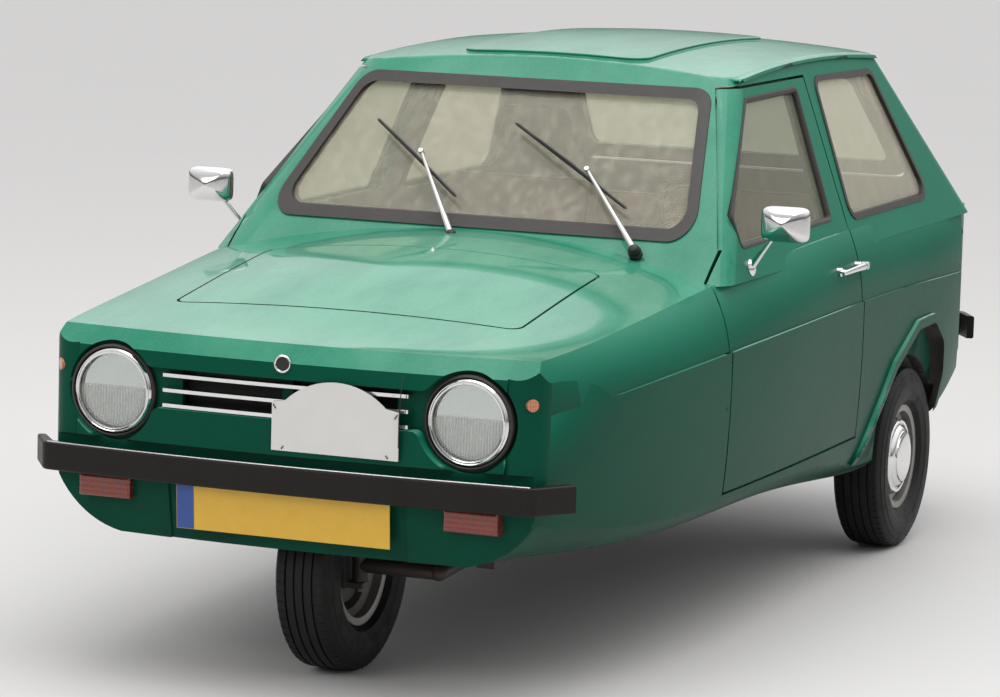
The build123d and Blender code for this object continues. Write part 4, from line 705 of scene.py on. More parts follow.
def roofCrown(p, u, lift=0.0):
    a, b = p[:, 1] - u["roofY"], p[:, 2] - (u["roofZ"] - u["along"])
    rho = np.hypot(a, b)
    up = rho - (u["along"] - u["across"])
    size = np.hypot(p[:, 0], up)
    normal = np.column_stack((p[:, 0] / size, up / size * a / rho, up / size * b / rho))
    return size - u["across"] - lift, normal


def rolled(first, second, radius):
    # the round edge between two surfaces, found from the distances to both
    (d1, n1), (d2, n2) = first, second
    c = np.sum(n1 * n2, axis=1)
    e1, e2 = d1 + radius, d2 + radius
    det = np.maximum(1 - c * c, 1e-4)
    alpha, beta = (e1 - c * e2) / det, (e2 - c * e1) / det
    out = n1 * alpha[:, None] + n2 * beta[:, None]
    size = np.linalg.norm(out, axis=1)
    ok = (alpha > -2.5) & (beta > -2.5)
    return np.where(ok, size - radius, 1e3), unitRows(out)


def fittedSheet(samples, target, degrees, scale):
    # a smooth height over two coordinates, fitted to the corners of the panel mesh
    a, b = samples[:, 0] / scale[0], samples[:, 1] / scale[1]
    powers = [(i, j) for i in range(degrees[0] + 1) for j in range(degrees[1] + 1)]
    rows = np.column_stack([a ** i * b ** j for i, j in powers])
    keep = np.ones(len(target), bool)
    for _ in range(4):
        weights, *_ = np.linalg.lstsq(rows[keep], target[keep], rcond=None)
        error = np.abs(rows @ weights - target)
        keep = error < max(0.8, 2.5 * float(np.median(error)))
    return powers, weights, scale


def sheetAt(sheet, a, b):
    powers, weights, scale = sheet
    s, t = a / scale[0], b / scale[1]
    value = sum(w * s ** i * t ** j for (i, j), w in zip(powers, weights))
    ds = sum(w * i * s ** (i - 1) * t ** j for (i, j), w in zip(powers, weights) if i) / scale[0]
    dt = sum(w * j * s ** i * t ** (j - 1) for (i, j), w in zip(powers, weights) if j) / scale[1]
    return value, ds, dt


def meshRows(items, attribute, each=3, kind=float):
    # one attribute of all the points, faces or corners of a triangle mesh, in rows of three numbers
    flat = np.empty(len(items) * each, dtype=kind)
    items.foreach_get(attribute, flat)
    return flat.reshape(-1, 3)


def panelCorners(names, keepFace):
    # the corner points, in mm, of the faces that a test keeps
    found = []
    for name in names:
        mesh = nodes[name].data
        points = meshRows(mesh.vertices, "co") * 1000
        corners = meshRows(mesh.loops, "vertex_index", 1, np.int32)
        centres = points[corners].mean(axis=1)
        wanted = corners[keepFace(centres, meshRows(mesh.polygons, "normal"))]
        found.append(points[np.unique(wanted)])
    return np.vstack(found)


def creaseHeight(y):
    top, middle, bow = skinUser["crease"]
    return top - (y - middle) ** 2 / bow


def expectedHalf(y, z):
    # the half-width of the body near a point, from its sections
    rows = np.array(skinUser["rows"])
    crease, shoulderZ, shoulder = (np.interp(y, rows[:, 0], rows[:, k]) for k in (1, 2, 3))
    rise = np.clip((z - creaseHeight(y)) / (shoulderZ - creaseHeight(y)), 0, 1)
    return crease + (shoulder - crease) * rise


def outerSide(c, n):
    isOutward = n[:, 0] * np.sign(c[:, 0]) > skinUser["sideFacing"]
    return isOutward & (np.abs(c[:, 0]) > expectedHalf(c[:, 1], c[:, 2]) - skinUser["sideBand"])


def upperSide(c, n):
    low = creaseHeight(c[:, 1]) + skinUser["aboveCrease"]
    above = (c[:, 2] > low) & (c[:, 2] < skinUser["shoulderTop"])
    return outerSide(c, n) & above & (np.abs(c[:, 1]) < skinUser["sideEnd"][0])


def lowerSide(c, n):
    front, back = skinUser["archY"]
    arch = (c[:, 1] > front) & (c[:, 1] < back) & (c[:, 2] < skinUser["archTop"])
    top = creaseHeight(c[:, 1]) - skinUser["belowCrease"]
    below = (c[:, 2] < top) & (c[:, 2] > skinUser["sideFoot"])
    return outerSide(c, n) & below & (np.abs(c[:, 1]) < skinUser["sideEnd"][1]) & ~arch


def crownTop(c, n):
    (front, back), (low, high) = skinUser["hoodY"], skinUser["hoodZ"]
    within = (c[:, 1] > front) & (c[:, 1] < back) & (c[:, 2] > low) & (c[:, 2] < high)
    return within & (n[:, 2] > skinUser["hoodFacing"])


def sideSheet(test, u):
    p = panelCorners(("upper_moulding", "lower_moulding", "door_left", "door_right"), test)
    return fittedSheet(p[:, 1:], np.abs(p[:, 0]), u["sideDegrees"], u["sideScale"])


sideSheets = [sideSheet(test, skinUser) for test in (upperSide, lowerSide)]
crownPoints = panelCorners(("upper_moulding", "bonnet"), crownTop)
crownPlan = np.column_stack((crownPoints[:, 0] ** 2, crownPoints[:, 1]))
crownSheet = fittedSheet(crownPlan, crownPoints[:, 2], skinUser["crownDegrees"], skinUser["crownScale"])


def sideFace(p, sheet):
    value, dy, dz = sheetAt(sheet, p[:, 1], p[:, 2])
    normal = unitRows(np.column_stack((np.ones(len(p)), -dy, -dz)))
    distance = (np.abs(p[:, 0]) - value) * normal[:, 0]
    normal[:, 0] *= np.sign(p[:, 0])
    return distance, normal


def crownFace(p, sheet):
    value, dq, dy = sheetAt(sheet, p[:, 0] ** 2, p[:, 1])
    return p[:, 2] - value, unitRows(np.column_stack((-dq * 2 * p[:, 0], -dy, np.ones(len(p)))))


def skinFaces(p, u):
    # every formula of the skin, each with its distances and normals at the points
    found = turnedFaces(p, u["nose"], u["noseAxis"]) + turnedFaces(p, u["tail"], u["tailAxis"])
    found += turnedFaces(p, u["recessFace"], u["noseAxis"], u["recess"])
    found += turnedFaces(p, u["nose"], u["noseAxis"], u["plateRecess"])
    found += [uprightCorner(p, u["noseCorner"]), uprightCorner(p, u["tailCorner"])]
    wall, crown = glasshouseSide(p, u), roofCrown(p, u)
    found += [wall, crown, roofCrown(p, u, u["panelRise"]), rolled(wall, crown, u["roofEdge"])]
    for sheet in sideSheets:
        distance, normal = sideFace(p, sheet)
        found.append((distance * u["reach"] / u["sideReach"], normal))
    found.append(crownFace(p, crownSheet))
    return found


def skinNormals(mesh, u):
    # each face takes the formula that fits all its corners best; the others keep their own normals
    points = meshRows(mesh.vertices, "co") * 1000
    corners = meshRows(mesh.loops, "vertex_index", 1, np.int32)
    flat = meshRows(mesh.polygons, "normal")
    chosen = meshRows(mesh.corner_normals, "vector").reshape(-1, 3, 3)
    best = np.full(len(flat), u["agree"])
    for distance, normal in skinFaces(points, u):
        near = (np.abs(distance[corners]) < u["reach"]).all(axis=1)
        agree = np.einsum("fki,fi->fk", normal[corners], flat).min(axis=1)
        better = near & (agree > best)
        best[better] = agree[better]
        chosen[better] = normal[corners[better]]
    mesh.normals_split_custom_set(chosen.reshape(-1, 3).tolist())
    return best > u["agree"]


# Body shells: the CAD surfaces, merged and shaded smoothly, painted outside and trimmed inside
shellUser = {
    "merge": 0.00002, "sharpAngle": 32.0, "wellY": (0.30, 1.13), "wellTop": 0.63,
    "wellHalf": (0.45, 0.655), "skinHalf": (0.60, 0.672), "underside": 0.40, "noseFar": -1.600,
    "noseInner": -1.585, "noseBack": -0.655, "noseAxisZ": 0.60, "noseTop": 0.80, "cabinY": (-0.40, 1.10),
    "cabinZ": 0.82, "liningZ": 1.18
}


def shellPart(place, normal, u):
    # the finish of a face: 0 painted skin, 1 trim board, 2 head lining, 3 underseal
    x, y, z = place
    half = abs(x)
    hubY, hubZ = wheelCentres["left"][1:]
    facesHub = normal.dot(Vector((0, y - hubY, z - hubZ))) < 0 and abs(normal.x) < 0.3
    inWell = u["wellY"][0] < y < u["wellY"][1] and z < u["wellTop"] and half > u["wellHalf"][0]
    if inWell and (half < u["wellHalf"][1] or facesHub):
        return 3
    if half > u["skinHalf"][0] and normal.x * x > 0 and abs(normal.x) > 0.25 or half > u["skinHalf"][1]:
        return 0
    if z < u["underside"] and normal.z < -0.93:
        return 3
    if y < u["noseBack"]:
        inward = normal.dot(Vector((x, 0, z - u["noseAxisZ"]))) < 0 and abs(normal.y) < 0.8
        behindNose = y > u["noseFar"] and normal.y > 0.5 and z < u["noseTop"]
        return 3 if (inward and y > u["noseInner"]) or behindNose else 0
    middle = Vector((0, min(max(y, u["cabinY"][0]), u["cabinY"][1]), u["cabinZ"]))
    if normal.dot(place - middle) >= 0:
        return 0
    return 2 if z > u["liningZ"] and normal.z < -0.3 else 1


def bodyShell(node, u):
    form = bmesh.new()
    form.from_mesh(nodes[node].data)
    bmesh.ops.remove_doubles(form, verts=form.verts, dist=u["merge"])
    form.normal_update()
    parts = [shellPart(face.calc_center_median(), face.normal, u) for face in form.faces]
    mesh = bpy.data.meshes.new(node + "Shell")
    form.to_mesh(mesh)
    form.free()
    mesh.shade_smooth()
    mesh.set_sharp_from_angle(angle=math.radians(u["sharpAngle"]))
    outer = skinNormals(mesh, skinUser)
    for face, part, isOuter in zip(mesh.polygons, parts, outer):
        face.material_index = 0 if isOuter and part != 3 else part
    for finish in (paint, trimBoard, headLining, underseal):
        mesh.materials.append(finish)
    piece = linked(node + "Shell", mesh)
    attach(piece, bodyOf[node])
    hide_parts(node)


for shellNode in ("lower_moulding", "upper_moulding", "door_left", "door_right", "bonnet", "tailgate"):
    bodyShell(shellNode, shellUser)
print("body shells made")

# CAD nodes that keep their shape, under the finish they take
keptFinishes = (
    (screenGlass, "fixed_glass"),
    (sideGlass, "door_glass_left door_glass_right tailgate_glass"),
    (sealRubber, "window_rubbers"),
    (bumperRubber, "front_bumper rear_bumper"),
    (chrome, "headlamp_rims grille_bars"),
    (lampBowl, "headlamp_bowls"),
    (lampGlass, "headlamp_lenses"),
    (amberLens, "indicators"),
    (paleAmber, "side_markers"),
    (redLens, "tail_lamps"),
    (plateYellow, "number_plate"),
    (plaqueWhite, "rally_plaque"),
    (wheelSilver, "wheel_front wheel_left wheel_right"),
    (bareSteel, "hinge_pins exhaust"),
    (castMetal, "knuckle drop_arm steering_box engine_block drive_line radiator"),
    (chassisPaint, "bonnet_arms front_arm steering_link chassis_frame rear_axle leaf_springs"),
    (chassisPaint, "seat_frames fuel_tank pedals"),
    (blackTrim, "steering_wheel dashboard cabin_levers cabin_mirror"),
    (carpet, "floor_pan"),
)
for keptFinish, keptNames in keptFinishes:
    for keptNode in keptNames.split():
        repaint(keptNode, keptFinish)
print("CAD nodes painted")


def turnedCopies(piece, centre, count, finish):
    # Geometry Nodes: copies of the piece set round the X axis, then moved to the centre
    tree = bpy.data.node_groups.new(piece.name + "Ring", "GeometryNodeTree")
    for way in ("INPUT", "OUTPUT"):
        tree.interface.new_socket("Geometry", in_out=way, socket_type="NodeSocketGeometry")
    kinds = {
        "start": "NodeGroupInput", "points": "GeometryNodePoints", "index": "GeometryNodeInputIndex",
        "turn": "ShaderNodeMath", "angles": "ShaderNodeCombineXYZ",
        "copies": "GeometryNodeInstanceOnPoints", "real": "GeometryNodeRealizeInstances",
        "tint": "GeometryNodeSetMaterial", "move": "GeometryNodeTransform", "end": "NodeGroupOutput"
    }
    links = (("index", 0, "turn", 0), ("turn", 0, "angles", "X"), ("points", 0, "copies", "Points"),
             ("start", 0, "copies", "Instance"), ("angles", 0, "copies", "Rotation"),
             ("copies", 0, "real", 0), ("real", 0, "tint", 0), ("tint", 0, "move", 0),
             ("move", 0, "end", 0))
    n = wired(tree, kinds, links)
    n["turn"].operation = "MULTIPLY"
    n["turn"].inputs[1].default_value = 2 * math.pi / count
    for key, inlet, value in (("points", "Count", count), ("tint", "Material", finish),
                              ("move", "Translation", centre)):
        n[key].inputs[inlet].default_value = value
    return asMesh(piece, tree)


# Tyres: ribbed side walls, four grooves and cut shoulders; outlines are (along the axle, radius)
tyreUser = {
    "wall": [(44, 127.6), (46, 140), (52, 145), (60, 152), (62, 152.8), (66, 164), (68.6, 175),
             (69.8, 176.5), (70.6, 186), (71, 196), (70.6, 205), (69, 206.5), (67.8, 214), (66, 222),
             (63.5, 224), (60, 233), (55.5, 239)],
    "outer": 245.0, "crown": 3.6, "half": 54.0, "grooves": (-33, -11, 11, 33), "groove": 2.6,
    "taper": 0.6, "deep": 5.5, "rib": 11.0, "lip": 0.6, "lugs": 66, "lug": 4.6, "lugDeep": 4.0,
    "lugTop": (37.5, 47), "lugSide": ((54, 241.2), (59.5, 235.0)), "steps": 96
}


def treadHeight(along, u):
    return u["outer"] - u["crown"] * (along / u["half"]) ** 2


def tyreLug(side, u):
    # one block of a shoulder, at the top of the wheel
    spans = [(a, treadHeight(a, u)) for a in u["lugTop"]] + list(u["lugSide"])
    half = u["lug"] / 2
    corners = [(across, fall) for across in (-half, half) for fall in (0.0, u["lugDeep"])]
    points = [mm(side * a, across, r - fall) for a, r in spans for across, fall in corners]
    end = 4 * len(spans) - 4
    faces = [(0, 1, 3, 2), (end, end + 2, end + 3, end + 1)]
    for i in range(0, end, 4):
        faces += [(i, i + 2, i + 6, i + 4), (i + 1, i + 5, i + 7, i + 3),
                  (i, i + 4, i + 5, i + 1), (i + 2, i + 3, i + 7, i + 6)]
    return meshPiece("lug", points, faces, tyreBlack, 30.0)


def tyre(name, centre, u):
    wide, narrow, lip, deep = u["groove"], u["groove"] * u["taper"], u["lip"], u["deep"]
    tread = []
    for groove in u["grooves"]:
        for offset, fall in ((-wide, lip), (-narrow, deep), (narrow, deep), (wide, lip), (u["rib"], lip)):
            tread.append((groove + offset, treadHeight(groove + offset, u) - fall))
    outline = u["wall"] + tread[::-1] + [(-a, r) for a, r in u["wall"][::-1]]
    body = lathed(name, outline, centre, (1, 0, 0), u["steps"], tyreBlack, 28.0)
    lugs = [turnedCopies(tyreLug(side, u), centre, u["lugs"], tyreBlack) for side in (-1, 1)]
    return joined(name, [body, *lugs])


for tyreName, hub in wheelCentres.items():
    piece = tyre("tyre_" + tyreName + "_tread", hub, tyreUser)
    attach(piece, bodyOf["tyre_" + tyreName])
    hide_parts("tyre_" + tyreName)

# Rear wheels: domed bright caps with a turned ring, and painted shade for the slots round the disc, as flat
# black faces
capUser = {
    "outline": [(38.6, 96.4), (40, 98), (44, 98.4), (46.2, 96.6), (46.6, 93), (45.4, 89), (46.4, 85),
                (52, 79), (54.5, 75), (56, 70), (58.4, 67.4), (61.2, 66.6), (62.6, 63), (64.8, 50),
                (66.4, 34), (67.2, 16), (67.4, 0.05)],
    "steps": 72, "slots": 12, "slot": ((18.8, 106.9), (35.6, 100.3)), "slotTurn": 0.105, "slotPoints": 16,
    "squareness": 1.25, "proud": 0.9, "outwards": 0.5
}


def hubCap(sideName, side, u):
    outline = [(side * a, r) for a, r in u["outline"]]
    name = "hub_cap_dome_" + sideName
    cap = lathed(name, outline, wheelCentres[sideName], (1, 0, 0), u["steps"], chrome, 24.0, loop=False)
    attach(cap, bodyOf["hub_cap_" + sideName])
    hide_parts("hub_cap_" + sideName)


def wheelSlotShades(sideName, side, u):
    # each slot's shade is painted as a flat black face with round ends, just proud of the sloping disc
    (a0, r0), (a1, r1) = u["slot"]
    edge = []
    for step in range(u["slotPoints"]):
        turn = 2 * math.pi * step / u["slotPoints"]
        along, across = (max(-1, min(1, u["squareness"] * wave(turn))) for wave in (math.sin, math.cos))
        share = 0.5 + 0.5 * along
        r = r0 + (r1 - r0) * share + u["outwards"]
        spin = u["slotTurn"] * across
        edge.append(mm(side * (a0 + (a1 - a0) * share + u["proud"]), r * math.sin(spin), r * math.cos(spin)))
    slot = flatFace("wheel_slots_" + sideName, edge, Vector((side, 0, 0)), darkHole)
    slot = turnedCopies(slot, wheelCentres[sideName], u["slots"], darkHole)
    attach(slot, bodyOf["wheel_" + sideName])


for sideName, side in carSides:
    hubCap(sideName, side, capUser)
    wheelSlotShades(sideName, side, capUser)
print("wheels dressed")

# Headlamps: gasket, inner bright ring, bulb and shield; outlines are (behind the lamp's face, radius)
lampUser = {
    "gasket": [(-3, 98.6), (-4, 101), (-1, 104.6), (8, 105.4), (22, 104.6), (22, 98.2), (6, 98.3)],
    "ring": [(-3.6, 83.2), (-6.2, 84.6), (-7.0, 87.4), (-5.4, 90.0), (-3.0, 88.6)],
    "bulb": [(16, 0.05), (16, 5), (19, 9), (26, 11), (34, 10), (40, 7), (52, 6.5), (60, 12), (72, 12),
             (72, 0.05)],
    "shield": [(8, 0.05), (8.4, 10), (11, 13.5), (16, 14.5), (15, 12.6), (11, 11.6), (9.6, 0.05)],
    "steps": 64
}
lampParts = (("lamp_gaskets", "gasket", sealRubber, True), ("lamp_inner_rings", "ring", chrome, True),
             ("lamp_bulbs", "bulb", plaqueWhite, False), ("lamp_shields", "shield", satinChrome, False))


def lampPair(name, key, finish, isRing, u):
    x, y, z = lampPlace
    pair = []
    for side in (-1, 1):
        centre = (side * x, y, z)
        pair.append(lathed("lampPart", u[key], centre, (0, 1, 0), u["steps"], finish, 30.0, isRing))
    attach(joined(name, pair), "car")


for lampName, key, finish, isRing in lampParts:
    lampPair(lampName, key, finish, isRing, lampUser)

# Nose: a black curved sheet behind the bars as painted shade in the grille's openings, a plain round badge,
# the plate's blue end and the plaque's ties
noseUser = {
    "bow": 4350.0, "louvreIn": 62.0, "louvreThick": 3.0, "louvreHalf": 270.0, "louvreZ": (616.0, 718.0),
    "louvreSteps": 32, "badgePlace": (0, -1640.5, 746.5),
    "badgeRing": [(-3, 19), (2.5, 20.5), (4.8, 19.6), (5.4, 18), (4.4, 16.4), (3.6, 15.6)],
    "badgeFace": [(3.6, 15.8), (4.0, 10), (4.2, 0.05)], "stripX": (-259.0, -217.0),
    "stripZ": (355.0, 463.0), "stripY": -1629.0, "stripMiddle": 409.0, "stripLean": 7.0 / 110.0,
    "stripProud": 0.5, "stripThick": 0.6, "tieY": (-1651.4, -1652.6, -1644.0), "tieWire": 1.2,
    "cordWire": 1.1, "edgeWire": 2.2,
    "tieEnds": ((-10, 648, -5, 14), (275, 648, 5, 14), (10, 566, -4, -10), (256, 566, 4, -10)),
    "cord": ((290, -1640, 745), (290, -1650, 730), (286, -1652, 650), (286, -1652, 585)),
    # the bright strip that stands for the highlight on the bumper's top edge
    "edgeY": -1657.5, "edgeBow": 11716.0, "edgeZ": 521.0, "edgeHalf": 588, "edgePitch": 42,
    "jetPlace": (6, -834, 917.5), "jet": [(-4, 8), (1, 8), (2.5, 6), (6, 4.5), (9, 3), (10, 0.05)]
}


def grilleShadeSheet(u):
    # painted shade: one black sheet on the nose's curve, where the grille's openings show only shade
    def place(layer, row, column):
        x = u["louvreHalf"] * (2 * column / u["louvreSteps"] - 1)
        radius = u["bow"] - u["louvreIn"] - layer * u["louvreThick"]
        return mm(x, skinUser["noseAxis"] - math.sqrt(radius ** 2 - x * x), u["louvreZ"][row])

    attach(thickGrid("grille_backing", place, 2, u["louvreSteps"] + 1, darkHole), "car")


def noseBadge(u):
    parts = [lathed("badgePart", u[key], mm(*u["badgePlace"]), (0, -1, 0), 48, finish, 30.0, loop=False)
             for key, finish in (("badgeRing", chrome), ("badgeFace", blackTrim))]
    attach(joined("nose_badge", parts), "car")


def plateStrip(u):
    def place(layer, row, column):
        z = u["stripZ"][row]
        front = u["stripY"] - (z - u["stripMiddle"]) * u["stripLean"] - u["stripProud"]
        return mm(u["stripX"][column], front + layer * u["stripThick"], z)

    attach(thickGrid("plate_strip", place, 2, 2, plateBlue), "car")


def plaqueTies(u):
    ties = []
    outer, loop, inner = u["tieY"]
    for x, z, dx, dz in u["tieEnds"]:
        path = [mm(x, outer, z), mm(x + dx, loop, z + dz * 0.5), mm(x + dx * 2, inner, z + dz)]
        ties.append(tube("tie", path, u["tieWire"], blackTrim, 8))
    ties.append(tube("tie", [mm(*p) for p in u["cord"]], u["cordWire"], blackTrim, 8))
    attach(joined("plaque_ties", ties), "car")


def bumperHighlightStrip(u):
    # painted highlight: a satin bright strip along the bumper's top edge, where the bumper only catches the
    # light
    places = range(-u["edgeHalf"], u["edgeHalf"] + 1, u["edgePitch"])
    path = [mm(x, u["edgeY"] + x * x / u["edgeBow"], u["edgeZ"]) for x in places]
    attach(tube("bumper_edge_strip", path, u["edgeWire"], satinChrome, 8), "car")


def washerJet(u):
    jet = lathed("washer_jet", u["jet"], mm(*u["jetPlace"]), (0, 0, 1), 24, satinChrome, 30.0, loop=False)
    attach(jet, bodyOf["bonnet"])


for makePart in (grilleShadeSheet, noseBadge, plateStrip, plaqueTies, bumperHighlightStrip, washerJet):
    makePart(noseUser)
print("nose dressed")

# Seals round the door windows, on the leaning side walls; the outline is (y, z),
# the section (inwards, height)
sealUser = {
    "outline": [(-455, 935), (-455, 1008), (-112, 1262), (287, 1266), (243, 941)], "corner": 14.0,
    "pitch": 60,
    "section": [(-4.5, -1.0), (-4.0, 1.6), (-0.5, 2.6), (5.0, 1.4), (9.0, -3.0), (9.0, -11.0),
                (-0.5, -11.0)]
}


def sideWall(side, u):
    # a point on the side wall from y and z, raised out of it by a height
    out = Vector((1.0, 0.0, u["sideLean"])).normalized()

    def lift(y, z, height):
        place = Vector((u["half"] - u["sideLean"] * (z - u["belt"]), y, z)) + out * height
        return Vector((place.x * side, place.y, place.z))

    return lift


def doorSeal(sideName, side, u):
    loop = resampled(roundedLoop(u["outline"], u["corner"]), u["pitch"])
    seal = framed("door_window_seal_" + sideName, loop, sideWall(side, skinUser), u["section"], sealRubber)
    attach(seal, bodyOf["door_" + sideName])


for sideName, side in carSides:
    doorSeal(sideName, side, sealUser)
print("window seals made")


# Seats: padded pieces with crowned faces, sewn channels and a welt
def padPoint(q, half, u, sew):
    # moves a point of a box onto the pad: round edges, a crown, the sewn channels and slack folds
    core = Vector(max(u["radius"] - h, min(h - u["radius"], a)) for a, h in zip(q, half))
    away = q - core
    p = core + away.normalized() * u["radius"] if away.length > 1e-6 else q
    across, along = p.x / half.x, p.y / half.y
    top = max(0.0, p.z / half.z) ** 2
    dome = (1 - across ** 4) * (1 - along ** 4)
    p.z -= top * u["crown"] * (1 - dome)
    seam = sum(math.exp(-((p.x - c) / sew["width"]) ** 2) for c in sew["channels"])
    seam += sum(math.exp(-((p.y - c) / sew["width"]) ** 2) for c in sew["cross"])
    p.z -= top * sew["deep"] * min(1.0, seam) * max(0.0, 1 - across ** 8) * max(0.0, 1 - along ** 8)
    fold = 0.5 + 0.5 * math.sin(p.y / u["foldY"] + u["foldDrift"] * math.sin(p.x / u["foldX"]))
    p.z -= top * u["fold"] * fold * dome
    return p / 1000


def softPad(name, size, u, sew, matrix):
    # a pad whose crowned face is its local +Z, sewn down at some places across X and along Y
    half = Vector(size) / 2
    counts = [max(8, round(s / u["mesh"])) for s in size]
    numbers = {}
    points, faces = [], []

    def corner(key):
        if key not in numbers:
            numbers[key] = len(points)
            q = Vector(size[i] * key[i] / counts[i] - half[i] for i in range(3))
            points.append(matrix @ padPoint(q, half, u, sew))
        return numbers[key]

    for axis in range(3):
        a, b = [i for i in range(3) if i != axis]
        for face, i, j in itertools.product((0, counts[axis]), range(counts[a]), range(counts[b])):
            ring = []
            for di, dj in ((0, 0), (1, 0), (1, 1), (0, 1)):
                key = [0, 0, 0]
                key[axis], key[a], key[b] = face, i + di, j + dj
                ring.append(corner(tuple(key)))
            faces.append(ring)
    pad = meshPiece(name, points, faces, cloth, 180.0)
    corners = [(-half.x, -half.y), (half.x, -half.y), (half.x, half.y), (-half.x, half.y)]
    rim = resampled(roundedLoop(corners, u["radius"] * 1.2), 40)
    inset = u["radius"] * u["weltIn"]
    height = half.z - u["radius"] * u["weltDown"][0] - u["crown"] * u["weltDown"][1]
    narrow, short = 1 - inset / half.x, 1 - inset / half.y
    welt = [matrix @ mm(x * narrow, y * short, height) for x, y in rim]
    return pad, tube(name + "_welt", welt, u["welt"], weltVinyl, 8, closed=True)


def leaning(origin, degrees, thick, tall):
    # the frame of a back that leans by some degrees: X across, Y up the back, Z out of its front
    turn = math.radians(degrees)
    up = Vector((0, math.sin(turn), math.cos(turn)))
    deep = Vector((0, math.cos(turn), -math.sin(turn)))
    centre = (Vector(origin) + deep * thick / 2 + up * tall / 2) / 1000
    return Matrix.Translation(centre) @ Matrix(((1, 0, 0), up, -deep)).transposed().to_4x4()


padUser = {
    "radius": 30.0, "crown": 14.0, "mesh": 14.0, "fold": 1.6, "foldY": 17.0, "foldX": 61.0,
    "foldDrift": 2.1, "weltIn": 0.30, "weltDown": (0.42, 0.55), "welt": 3.4
}
seatUser = {
    "sizes": {"cushion": (420.0, 461.0, 109.5), "back": (420.0, 498.0, 104.0),
              "rearCushion": (998.0, 374.0, 132.0), "rearBack": (998.0, 398.0, 94.0)},
    "frontX": 310.0, "frontCushion": (120.75, 505.0), "frontBack": (345.4, 500.0),
    "frontLean": (14.0, 105.0, 500.0), "rearCushion": (887.25, 493.2), "rearBack": (1067.7, 500.0),
    "rearLean": (16.0, 95.0, 400.0),
    "front": {"channels": [60.0 * k for k in range(-2, 3)], "deep": 7.0, "width": 7.0,
              "cross": (-130.0,)},
    "rear": {"channels": [100.0 * k for k in range(-4, 5)], "deep": 6.0, "width": 8.0, "cross": ()}
}


def seatPads(u):
    cushions, backs, welts = [], [], []
    spots = []
    for x in (-u["frontX"], u["frontX"]):
        spots.append((cushions, "cushion", "front", Matrix.Translation(mm(x, *u["frontCushion"]))))
        spots.append((backs, "back", "front", leaning((x, *u["frontBack"]), *u["frontLean"])))
    spots.append((cushions, "rearCushion", "rear", Matrix.Translation(mm(0, *u["rearCushion"]))))
    spots.append((backs, "rearBack", "rear", leaning((0, *u["rearBack"]), *u["rearLean"])))
    for kept, key, row, matrix in spots:
        pad, welt = softPad(key, u["sizes"][key], padUser, u[row], matrix)
        kept.append(pad)
        welts.append(welt)
    for name, pads, node, fill in (("padded_cushions", cushions, "seat_cushions", 0.7),
                                   ("padded_backs", backs, "seat_backs", 0.6)):
        piece = joined(name, pads)
        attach(piece, bodyOf[node])
        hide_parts(node)
    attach(joined("seat_welts", welts), "car")


seatPads(seatUser)
print("seats padded")

# Front spring: a wound coil round its damper; the damper's outline is (share of its height, radius)
springUser = {
    "x": 238.0, "y": -1180.0, "low": 288.0, "high": 560.0, "coil": 30.5, "wire": 5.2, "turns": 7.5,
    "stepsPerTurn": 20,
    "damper": [(0, 0.5), (0, 16), (0.52, 16), (0.53, 14), (0.53, 6.5), (0.72, 6.5), (0.72, 20), (1, 20),
               (1, 0.5)]
}


def frontSpring(u):
    steps = round(u["turns"] * u["stepsPerTurn"])
    tall = u["high"] - u["low"]
    path = []
    for k in range(steps + 1):
        turn = 2 * math.pi * u["turns"] * k / steps
        z = u["low"] + u["wire"] + (tall - 2 * u["wire"]) * k / steps
        path.append(mm(u["x"] + u["coil"] * math.cos(turn), u["y"] + u["coil"] * math.sin(turn), z))
    coil = tube("coil", path, u["wire"], chassisPaint, 8)
    outline = [(tall * share, r) for share, r in u["damper"]]
    foot = mm(u["x"], u["y"], u["low"])
    damper = lathed("damper", outline, foot, (0, 0, 1), 24, castMetal, 30.0, loop=False)
    piece = joined("spring_and_damper", [coil, damper])
    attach(piece, bodyOf["front_spring"])
    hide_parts("front_spring")


frontSpring(springUser)

# Wipers: tapered arms, bridges with black blades, and black pivot caps
# A route is pivot, elbow, blade tip and blade heel; rows with a share run along the arm or the blade
wiperUser = {
    "routes": [[(-35, -612, 921), (-209, -403, 1099), (-366, -323, 1171), (-74, -501, 1009)],
               [(437, -612, 917), (237, -420, 1083), (1, -312, 1181), (370, -501, 1009)]],
    "lift": (0, -12, 11), "lifts": (1.5, 1.05, 0.9),
    "arm": ((0, 8.5), (0.12, 8.0), (0.35, 6.2), (0.7, 5.0), (1, 4.2)), "armBow": 5,
    "blade": ((0, 1.6), (0.02, 4.2), (0.25, 4.2), (0.5, 4.2), (0.75, 4.2), (0.98, 4.2), (1, 1.6)),
    "bladeOut": (9.5, 2), "bridge": ((0.16, 12), (0.24, 17), (0.5, 21), (0.76, 17), (0.84, 12)),
    "bridgeWire": 3.6, "clip": (8, 25, 6.2), "cap": [(-2, 13), (4, 14.5), (12, 13.5), (18, 9), (20, 0.5)],
    "foot": [(-18, 10.5), (0, 10.5), (1, 16), (0, 17), (-14, 17)]
}


